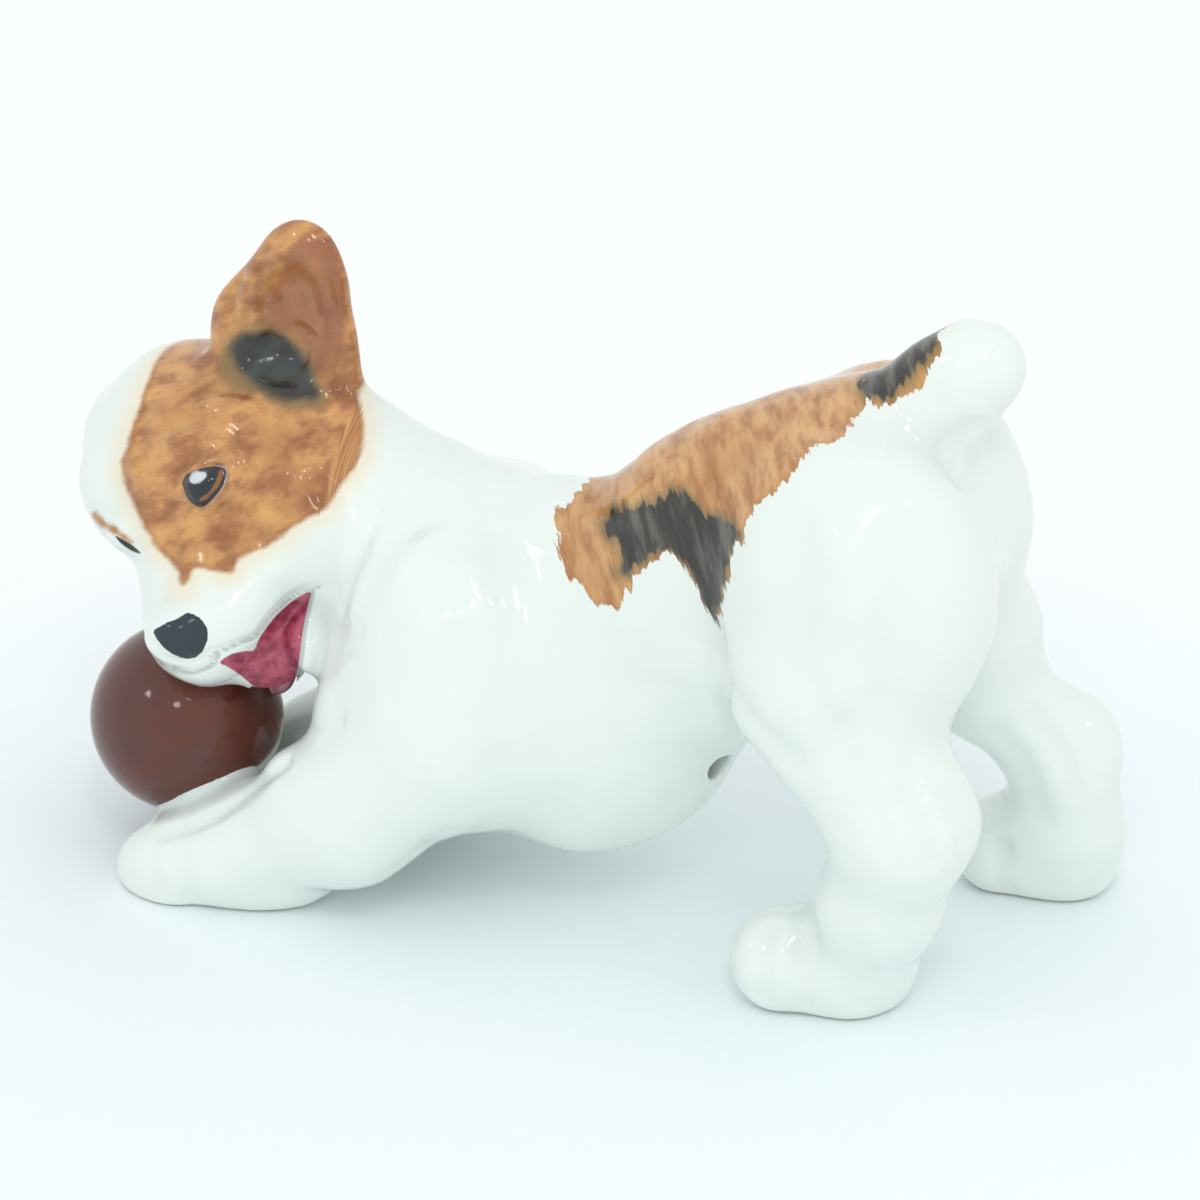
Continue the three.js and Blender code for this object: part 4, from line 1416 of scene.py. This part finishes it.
@dataclass(frozen=True)
class PaintedChina:
    """White glazed china with brushed terrier markings. Sizes are in mm."""

    name: str
    white: Colour = srgb(230, 237, 232)
    shade: Colour = srgb(225, 234, 230)
    cream: Colour = srgb(238, 222, 190)
    amber: Colour = srgb(213, 168, 114)
    tan: Colour = srgb(197, 146, 98)
    russet: Colour = srgb(168, 114, 68)
    umber: Colour = srgb(122, 72, 44)
    blush: Colour = srgb(200, 150, 88)
    gold_green: Colour = srgb(112, 100, 66)
    soft_black: Colour = srgb(98, 98, 90)
    black: Colour = srgb(52, 50, 47)
    nose_black: Colour = srgb(42, 52, 61)
    eye_black: Colour = srgb(38, 42, 46)
    lid_grey: Colour = srgb(168, 178, 176)
    glint_grey: Colour = srgb(214, 222, 226)
    line_grey: Colour = srgb(92, 92, 90)
    rose: Colour = srgb(182, 84, 106)
    wine: Colour = srgb(136, 46, 72)
    pool_shade_grey: Colour = srgb(196, 208, 206)
    bisque: Colour = srgb(214, 202, 190)
    stain_and_shade: Colour = srgb(120, 92, 70)
    rag: float = 2.8
    edge: tuple[float, float] = (-0.05, 0.14)
    blushing: float = 0.7
    dab: tuple[float, float] = (0.12, 0.75)
    ragged: tuple[float, float] = (0.14, 1.3)
    ink: tuple[float, float] = (0.1, 0.9)
    ink_edge: tuple[float, float] = (-0.05, 0.4)

    def make(self) -> bpy.types.Material:
        """Builds the material."""
        s = Shader(self.name)
        colour = self.ground(s)
        colour, brown = self.browns(s, colour)
        colour = self.blacks(s, colour, brown)
        colour = self.face(s, colour)
        # Vent hole: brown stained edge, and painted shade inside the hole.
        stain_and_shade = s.mark(Mark.STAIN_AND_SHADE).rise(0.0, 0.25)
        colour = s.mix(0.75 * stain_and_shade, colour, self.stain_and_shade)
        sole = s.mark(Mark.SOLE).rise(-0.05, 0.12)
        colour = s.mix(sole * (0.6 + 0.4 * s.brush(0.9, 0.9, 4.0, 5.0)), colour, self.bisque)
        wet = s.brush(0.12, 0.16, 3.0, 11.0)
        rough = 0.05 + 0.07 * wet + 0.6 * sole
        peel = s.brush(0.55, 0.55, 4.0, 17.0)
        return s.glaze(colour, rough, peel, 0.00003)

    def ground(self, s: Shader) -> Paint:
        """The white body, greyer in creases where the glaze pools and as painted shade, cream
        beside the paint.
        """
        cloud = s.brush(0.07, 0.09, 3.0, 2.0).rise(0.35, 0.7)
        white = s.mix(0.35 * cloud, self.white, self.shade)
        # Painted shade: the white greyer in creases, with the tint of pooled glaze.
        pool_shade = s.mark(Mark.POOL_AND_SHADE).rise(0.25, 1.0)
        white = s.mix(0.55 * pool_shade, white, self.pool_shade_grey)
        halo = s.mark(Mark.HALO) + 1.4 * (s.brush(0.3, 0.4, 3.0, 3.0) - 0.5)
        return s.mix(0.75 * halo.rise(-2.4, 0.3), white, self.cream)

    def browns(self, s: Shader, under: Paint) -> tuple[Paint, Value]:
        """The brown patches, and how much they cover."""
        rag = s.brush(*self.ragged, 4.0, 1.0) - 0.52
        inside = s.mark(Mark.BROWN) + self.rag * rag
        cover = inside.rise(*self.edge)
        along, across = self.dab
        dab = s.brush(along, across, 4.0, 6.0)
        wash = s.brush(0.14, 0.17, 2.0, 8.0)
        fine = s.brush(2.5 * along, 2.5 * across, 3.0, 9.0)
        brown = s.mix(dab.rise(0.36, 0.68), self.tan, self.amber)
        brown = s.mix((1.0 - dab).rise(0.46, 0.74), brown, self.russet)
        brown = s.mix(0.5 * wash.rise(0.45, 0.7), brown, self.russet)
        brown = s.mix(0.3 * fine.rise(0.5, 0.75), brown, self.umber)
        rim = 1.0 - inside.rise(0.1, 0.7)
        brown = s.mix(0.4 * rim, brown, self.russet)
        fringe = s.mark(Mark.FRINGE).rise(-0.4, 0.5)
        brown = s.mix(self.blushing * fringe, brown, self.blush)
        # Painted shade: the browns darker in creases, with the tint of pooled glaze.
        pool_shade = s.mark(Mark.POOL_AND_SHADE).rise(0.2, 1.0)
        brown = s.mix(0.6 * pool_shade, brown, self.umber)
        return s.mix(cover, under, brown), cover

    def blacks(self, s: Shader, under: Paint, brown: Value) -> Paint:
        """The black marks, with a greenish gold edge where they run into the brown."""
        gold = s.mark(Mark.GOLD) + 1.6 * (s.brush(0.4, 0.6, 3.0, 12.0) - 0.5)
        under = s.mix(0.6 * gold.rise(-0.2, 1.2) * brown, under, self.gold_green)
        inside = s.mark(Mark.BLACK) + self.rag * (s.brush(*self.ragged, 4.0, 13.0) - 0.5)
        under = s.mix(0.7 * inside.rise(-1.1, 0.2) * brown, under, self.gold_green)
        tone = s.brush(*self.ink, 4.0, 14.0).rise(0.34, 0.6)
        grey = s.mix(tone, self.soft_black, self.black)
        return s.mix(inside.rise(*self.ink_edge), under, grey)

    def face(self, s: Shader, under: Paint) -> Paint:
        """Nose, eyes, the lines of the mouth and its inside."""
        rose = s.mark(Mark.ROSE).rise(-0.08, 0.08)
        inner = s.mix(s.brush(0.8, 0.8, 4.0, 15.0).rise(0.35, 0.65), self.wine, self.rose)
        under = s.mix(rose, under, inner)
        line = s.mark(Mark.LINE) + 0.1 * (s.brush(0.5, 0.5, 2.0, 16.0) - 0.5)
        under = s.mix(0.4 * line.rise(0.02, 0.25), under, self.line_grey)
        nose = s.mark(Mark.NOSE) + 0.34 * (s.brush(1.7, 1.7, 4.0, 18.0) - 0.5)
        under = s.mix(nose.rise(-0.02, 0.08), under, self.nose_black)
        eye = s.mark(Mark.EYE)
        low_lid = s.mark(Mark.IRIS).rise(-0.6, -0.1)
        under = s.mix(0.8 * low_lid * eye.rise(-0.22, -0.08), under, self.lid_grey)
        under = s.mix(eye.rise(-0.02, 0.1), under, self.eye_black)
        iris = s.mark(Mark.IRIS) + 0.3 * (s.brush(1.5, 1.5, 3.0, 19.0) - 0.5)
        under = s.mix(0.9 * iris.rise(-0.05, 0.15), under, self.russet)
        glint = s.mark(Mark.GLINT) + 0.5 * (s.brush(1.2, 1.2, 3.0, 20.0) - 0.5)
        return s.mix(0.9 * glint.rise(-0.05, 0.2), under, self.glint_grey)


@dataclass(frozen=True)
class ChocolateGlaze:
    """The ball's deep brown glaze."""

    chocolate: Colour = srgb(88, 51, 45)
    dark: Colour = srgb(62, 26, 19)
    warm: Colour = srgb(98, 44, 30)
    white: Colour = srgb(234, 241, 238)
    gold: Colour = srgb(176, 140, 84)

    def make(self) -> bpy.types.Material:
        """Builds the material."""
        s = Shader("chocolate_glaze")
        cloud = s.brush(0.1, 0.13, 3.0, 21.0).rise(0.35, 0.7)
        speck = s.brush(1.1, 1.1, 5.0, 22.0).rise(0.58, 0.8)
        colour = s.mix(cloud, self.chocolate, self.warm)
        colour = s.mix(0.5 * speck, colour, self.dark)
        inside = s.mark(Mark.BROWN)
        colour = s.mix(0.8 * (1.0 - inside.rise(0.0, 0.35)), colour, self.gold)
        colour = s.mix(inside.rise(-0.08, 0.12), self.white, colour)
        rough = 0.05 + 0.06 * s.brush(0.2, 0.2, 3.0, 23.0)
        return s.glaze(colour, rough, s.brush(0.6, 0.6, 4.0, 24.0), 0.00003)


@dataclass(frozen=True)
class RoseGlaze:
    """Streaky pink of the tongue."""

    rose: Colour = srgb(184, 98, 118)
    pale: Colour = srgb(214, 152, 166)
    wine: Colour = srgb(140, 50, 78)

    def make(self) -> bpy.types.Material:
        """Builds the material."""
        s = Shader("rose_glaze")
        streak = s.brush(0.45, 1.7, 4.0, 25.0)
        colour = s.mix(streak.rise(0.4, 0.62), self.rose, self.pale)
        colour = s.mix(0.6 * s.brush(0.4, 1.2, 4.0, 26.0).rise(0.48, 0.7), colour, self.wine)
        # Painted shade: the tongue darker toward the mouth's outline, where the lips overhang it.
        edge = 1.0 - s.mark(Mark.ROSE).rise(0.0, 0.6)
        colour = s.mix(0.6 * edge, colour, self.wine)
        return s.glaze(colour, 0.08, streak, 0.00006)


class Piece(ABC):
    """Something of the figurine that is built and dressed."""

    name: str

    @abstractmethod
    def build(self, bench: Bench) -> bpy.types.Object:
        """Makes the mesh."""

    @abstractmethod
    def dress(self, thing: bpy.types.Object) -> None:
        """Gives the mesh its finish and its place in the frame."""


@dataclass
class Ball(Piece):
    """The chocolate brown ball."""

    sculpt: BallSculpt
    cell: float = 0.45
    name: str = "brown_ball"

    def build(self, bench: Bench) -> bpy.types.Object:
        """Makes the mesh."""
        room = self.sculpt.radius + 1
        middle = np.array(self.sculpt.centre)
        form = self.sculpt.form()
        p, faces = skin(form, tuple(middle - room), tuple(middle + room), self.cell)
        marks = {Mark.BROWN: PAINTED_BALL.inside(VIEW.project(p))}
        return bench.make(self.name, Shell(p, faces.tolist(), marks, brush_at(p, (1, 0.3))))

    def dress(self, thing: bpy.types.Object) -> None:
        """Chocolate glaze, in place of the plain ball."""
        thing.data.materials.append(ChocolateGlaze().make())
        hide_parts("ball")
        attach(thing, "root")


@dataclass
class Terrier:
    """The whole glazed dog, sculpted in one: its body and head are parts of this skin."""

    body: BodySculpt
    head: HeadSculpt
    mouth: MouthSculpt
    ball: BallSculpt
    markings: Markings = Markings()
    cell: float = 0.47
    foot_edge: float = 0.5
    seam_point: Vec = (-20.8, 0.0, 36.0)
    seam_normal: Vec = (-0.985, 0.12, 0.12)
    head_floor: float = 17.3
    sole_level: float = 0.02
    body_brush: Pixel = (0.3, 1.0)
    head_brush: Pixel = (0.9, -0.35)
    brush_turn: tuple[float, float] = (-19.0, -23.0)
    brush_floor: float = 20.0
    head_paint_to: float = -16.0
    body_paint_from: float = -14.0
    sole_edge: float = 0.22
    stain_shade_reach: float = 0.3
    vent: tuple[Vec, Vec, float, float] = ((12.4, -2.1, 18.5), (17.6, -4.2, 16.2), 1.2, 1.2)
    low: Vec = (-53.5, -23.0, -0.8)
    high: Vec = (52.0, 23.0, 65.0)

    def plain(self) -> Form:
        """Head and body without strokes."""
        head = self.head.form()
        open_head = Cut(head, [self.mouth.hollow(head)], 0.25)
        joined = Joined(self.body.form(self.ball), open_head)
        return Cut(joined, [Bar(*self.vent)], 0.35)

    def standing(self, form: Form) -> Form:
        """The form with flat soles."""
        return Cut(form, [HalfSpace((0, 0, self.sole_level), (0, 0, 1))], self.foot_edge)

    def worked(self, plain: Form) -> Form:
        """Head and body with strokes."""
        relief = Relief(plain, [(Lumps(1, 5.5), 0.27), (Lumps(2, 2.3), 0.06)])
        relief.lay(BODY_STROKES, lambda line: line * np.array([1, -1, 1]))
        relief.lay(HEAD_STROKES, Head.mirror)
        return self.standing(relief)

    def on_head(self, p: np.ndarray) -> np.ndarray:
        """Whether each row lies on the head's side of the neck."""
        ahead = (p - np.array(self.seam_point)) @ np.array(self.seam_normal) > 0
        return ahead & (p[:, 2] > self.head_floor)

    def sculpt(self) -> tuple[Shell, np.ndarray]:
        """Makes the whole skin.

        Returns:
            The skin, and whether each face belongs to the head.
        """
        plain = self.plain()
        p, faces = skin(self.standing(plain), self.low, self.high, self.cell)
        p, rings = refine(p, faces, self.on_head(p[faces].mean(1)))
        worked = self.worked(plain)
        p = worked.settle(p, 4, 0.3)
        LOG.info("the skin has %d vertices and %d faces", len(p), len(rings))
        headed = self.on_head(np.array([p[ring].mean(0) for ring in rings]))
        blend = smooth_step(*self.brush_turn, p[:, 0])[:, None]
        blend = blend * (p[:, 2] > self.brush_floor)[:, None]
        brush = brush_at(p, self.body_brush) * (1 - blend) + brush_at(p, self.head_brush) * blend
        shell = Shell(p, rings, self.paint(worked, p), brush)
        shell.keep_normals()
        return shell, headed

    def paint(self, form: Form, p: np.ndarray) -> dict[Mark, np.ndarray]:
        """All the painted marks, for the vertices."""
        marks = {mark: np.full(len(p), mark.nowhere) for mark in Mark}
        ahead = p[:, 0] < self.head_paint_to
        for name, values in self.markings.head_marks(p[ahead]).items():
            marks[name][ahead] = values
        behind = p[:, 0] > self.body_paint_from
        for name, values in self.markings.body_marks(p[behind]).items():
            marks[name][behind] = values
        marks[Mark.SOLE] = self.sole_edge - p[:, 2]
        # Vent hole: brown stained edge, and painted shade on its inner walls.
        marks[Mark.STAIN_AND_SHADE] = self.stain_shade_reach - np.abs(Bar(*self.vent).distance(p))
        # Crease depth, for the glaze-pool tint and the painted shade in creases.
        marks[Mark.POOL_AND_SHADE] = crease_depth(form, p)
        return marks


@dataclass
class SkinPiece(Piece):
    """Some faces of the terrier's skin."""

    skin: Shell
    faces: np.ndarray
    name: str = ""

    def build(self, bench: Bench) -> bpy.types.Object:
        """Makes the mesh."""
        return bench.make(self.name, self.skin.part(self.faces))


@dataclass
class GlazedBody(SkinPiece):
    """Trunk, legs and tail."""

    name: str = "glazed_body"

    def dress(self, thing: bpy.types.Object) -> None:
        """Painted china, in place of the castings."""
        thing.data.materials.append(PaintedChina("painted_body").make())
        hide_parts("body_casting", "left_foreleg", "right_foreleg", "left_hind_leg",
                    "right_hind_leg", "tail")
        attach(thing, "root")


@dataclass
class GlazedHead(SkinPiece):
    """Head with its ears and jaws, luted to the neck."""

    name: str = "glazed_head"

    def dress(self, thing: bpy.types.Object) -> None:
        """Painted china, in place of the castings."""
        finish = PaintedChina(
            "painted_head", amber=srgb(216, 162, 98), tan=srgb(186, 130, 84),
            russet=srgb(150, 94, 54), umber=srgb(124, 70, 44), blush=srgb(156, 100, 72),
            soft_black=srgb(62, 70, 68), rag=0.9, edge=(-0.35, 0.3), blushing=0.75,
            dab=(0.28, 0.42), ragged=(0.5, 0.8), ink=(0.3, 0.5), ink_edge=(-0.5, 0.6))
        thing.data.materials.append(finish.make())
        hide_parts("head_casting", "left_ear", "right_ear", "lower_jaw")
        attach(thing, "root")


@dataclass
class Tongue(Piece):
    """The pink tongue in the open side of the mouth."""

    head: HeadSculpt
    mouth: MouthSculpt
    cell: float = 0.22
    name: str = "pink_tongue"

    def build(self, bench: Bench) -> bpy.types.Object:
        """Makes the mesh."""
        form = self.mouth.tongue(self.head.form())
        rim = VIEW.touch(self.head.form(), MOUTH_EDGE.points)
        low, high = tuple(rim.min(0) - 3), tuple(rim.max(0) + 3)
        p, faces = skin(form, low, high, self.cell)
        marks = {Mark.ROSE: MOUTH_EDGE.inside(VIEW.project(p))}
        return bench.make(self.name, Shell(p, faces.tolist(), marks, brush_at(p, (-0.15, 1.0))))

    def dress(self, thing: bpy.types.Object) -> None:
        """Pink glaze, in place of the plain tongue."""
        thing.data.materials.append(RoseGlaze().make())
        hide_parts("tongue")
        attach(thing, "root")


@dataclass(frozen=True)
class Lamp:
    """A square lamp that looks at the figurine. Lengths are in metres."""

    name: str
    azimuth: float
    elevation: float
    reach: float
    side: float
    power: float
    mirrored: bool = True

    def hang(self, target: np.ndarray) -> None:
        """Makes the lamp.

        Args:
            target: The point that it looks at.
        """
        a, e = np.radians(self.azimuth), np.radians(self.elevation)
        way = np.array([np.sin(a) * np.cos(e), -np.cos(a) * np.cos(e), np.sin(e)])
        data = bpy.data.lights.new(self.name, "AREA")
        data.shape, data.size, data.energy = "SQUARE", self.side, self.power
        lamp = bpy.data.objects.new(self.name, data)
        lamp.location = target + way * self.reach
        lamp.rotation_euler = look_from(way)
        lamp.visible_glossy = self.mirrored
        bpy.context.scene.collection.objects.link(lamp)


def look_from(way: np.ndarray) -> tuple[float, float, float]:
    """Rotation of a camera or lamp that looks back along a direction."""
    return tuple(Vector(way).to_track_quat("Z", "Y").to_euler())


@dataclass(frozen=True)
class Studio:
    """Floor, backdrop, lamps and camera."""

    backdrop: Colour = (0.97, 1.0, 1.0)
    floor: Colour = srgb(239, 246, 249)
    floor_shade: Colour = srgb(233, 240, 243)
    sky: float = 0.94
    floor_ahead: float = 0.055
    floor_reach: float = 0.075
    floor_fade: float = 0.155
    sensor: float = 36.0
    lamps: tuple[Lamp, ...] = (
        Lamp("front", 21, 29, 0.6, 0.3, 0.22, False),
        Lamp("key", 29, 55, 0.6, 0.1, 0.32),
        Lamp("spark", 8, 42, 0.6, 0.06, 0.08),
        Lamp("side", -42, 40, 0.7, 0.06, 0.12),
        Lamp("rim", 75, 48, 0.7, 0.06, 0.12),
    )

    def world(self) -> None:
        """Even pale light, and a white backdrop for the camera and for reflections."""
        world = bpy.data.worlds.new("studio")
        nodes = Nodes(world, "ShaderNodeOutputWorld")
        path = nodes.node("ShaderNodeLightPath")
        camera, glossy, through = [Value(nodes, path.outputs[name]) for name in (
            "Is Camera Ray", "Is Glossy Ray", "Is Transmission Ray")]
        light, view = [nodes.node("ShaderNodeBackground", {}, {
            "Color": self.backdrop, "Strength": strength}) for strength in (self.sky, 1.0)]
        nodes.close(nodes.node("ShaderNodeMixShader", {}, {
            0: camera.larger(glossy).larger(through), 1: light.outputs[0], 2: view.outputs[0]}))
        bpy.context.scene.world = world

    def lay_floor(self) -> None:
        """Pale floor that fades into the backdrop."""
        work = bmesh.new()
        bmesh.ops.create_circle(work, cap_ends=True, segments=96, radius=self.floor_fade)
        mesh = bpy.data.meshes.new("floor")
        work.to_mesh(mesh)
        work.free()
        floor = bpy.data.objects.new("floor", mesh)
        floor.location = (*(self.floor_ahead * unit(VIEW.back * np.array([1, 1, 0])))[:2], 0)
        bpy.context.scene.collection.objects.link(floor)
        s = Shader("pale_floor")
        place = s.node("ShaderNodeTexCoord").outputs["Object"]
        away = Value(s, s.node("ShaderNodeVectorMath", {"operation": "LENGTH"},
                               {0: place}).outputs["Value"])
        grain = Value(s, s.node("ShaderNodeTexNoise", {}, {
            "Vector": place, "Scale": 700.0, "Detail": 3.0}).outputs["Fac"])
        colour = s.mix(0.25 * grain, self.floor, self.floor_shade)
        paper = s.node("ShaderNodeBsdfPrincipled", {}, {
            "Base Color": colour, "Roughness": 0.75})
        clear = s.node("ShaderNodeBsdfTransparent")
        both = s.node("ShaderNodeMixShader", {}, {
            0: away.rise(self.floor_reach, self.floor_fade), 1: paper.outputs[0],
            2: clear.outputs[0]})
        s.close(both)
        mesh.materials.append(s.material)
        floor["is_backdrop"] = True

    def camera(self, bench: Bench) -> None:
        """Camera at the photograph's place."""
        data = bpy.data.cameras.new("camera")
        data.sensor_width = self.sensor
        data.lens = VIEW.focal / VIEW.side * self.sensor
        data.clip_start, data.clip_end = 0.01, 10.0
        camera = bpy.data.objects.new("camera", data)
        camera.location = bench.place(VIEW.place)
        camera.rotation_euler = look_from(VIEW.back)
        bpy.context.scene.collection.objects.link(camera)
        bpy.context.scene.camera = camera

    def build(self, bench: Bench) -> None:
        """Makes the studio."""
        self.world()
        self.lay_floor()
        self.camera(bench)
        target = bench.place(np.array(VIEW.target))
        for lamp in self.lamps:
            lamp.hang(target)
        bpy.context.scene.view_settings.view_transform = "Standard"


def corners(bounds: tuple) -> list[list[float]]:
    """A box as plain lists."""
    return [[float(v) for v in corner] for corner in bounds]


def main() -> None:
    """Builds the figurine around the frame, and works out how large both are."""
    logging.basicConfig(level=logging.INFO, format="%(name)s: %(message)s")
    ball = BallSculpt()
    bench = Bench(ball)
    Studio().build(bench)
    head, mouth = HeadSculpt(), MouthSculpt()
    shell, headed = Terrier(BodySculpt(), head, mouth, ball).sculpt()
    for piece in (Ball(ball), GlazedBody(shell, ~headed), GlazedHead(shell, headed),
                  Tongue(head, mouth)):
        thing = piece.build(bench)
        piece.dress(thing)
        LOG.info("%s is built", piece.name)
    {"cad": corners(CAD_BOX), "visual": corners(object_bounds())}


if __name__ == "__main__":
    main()
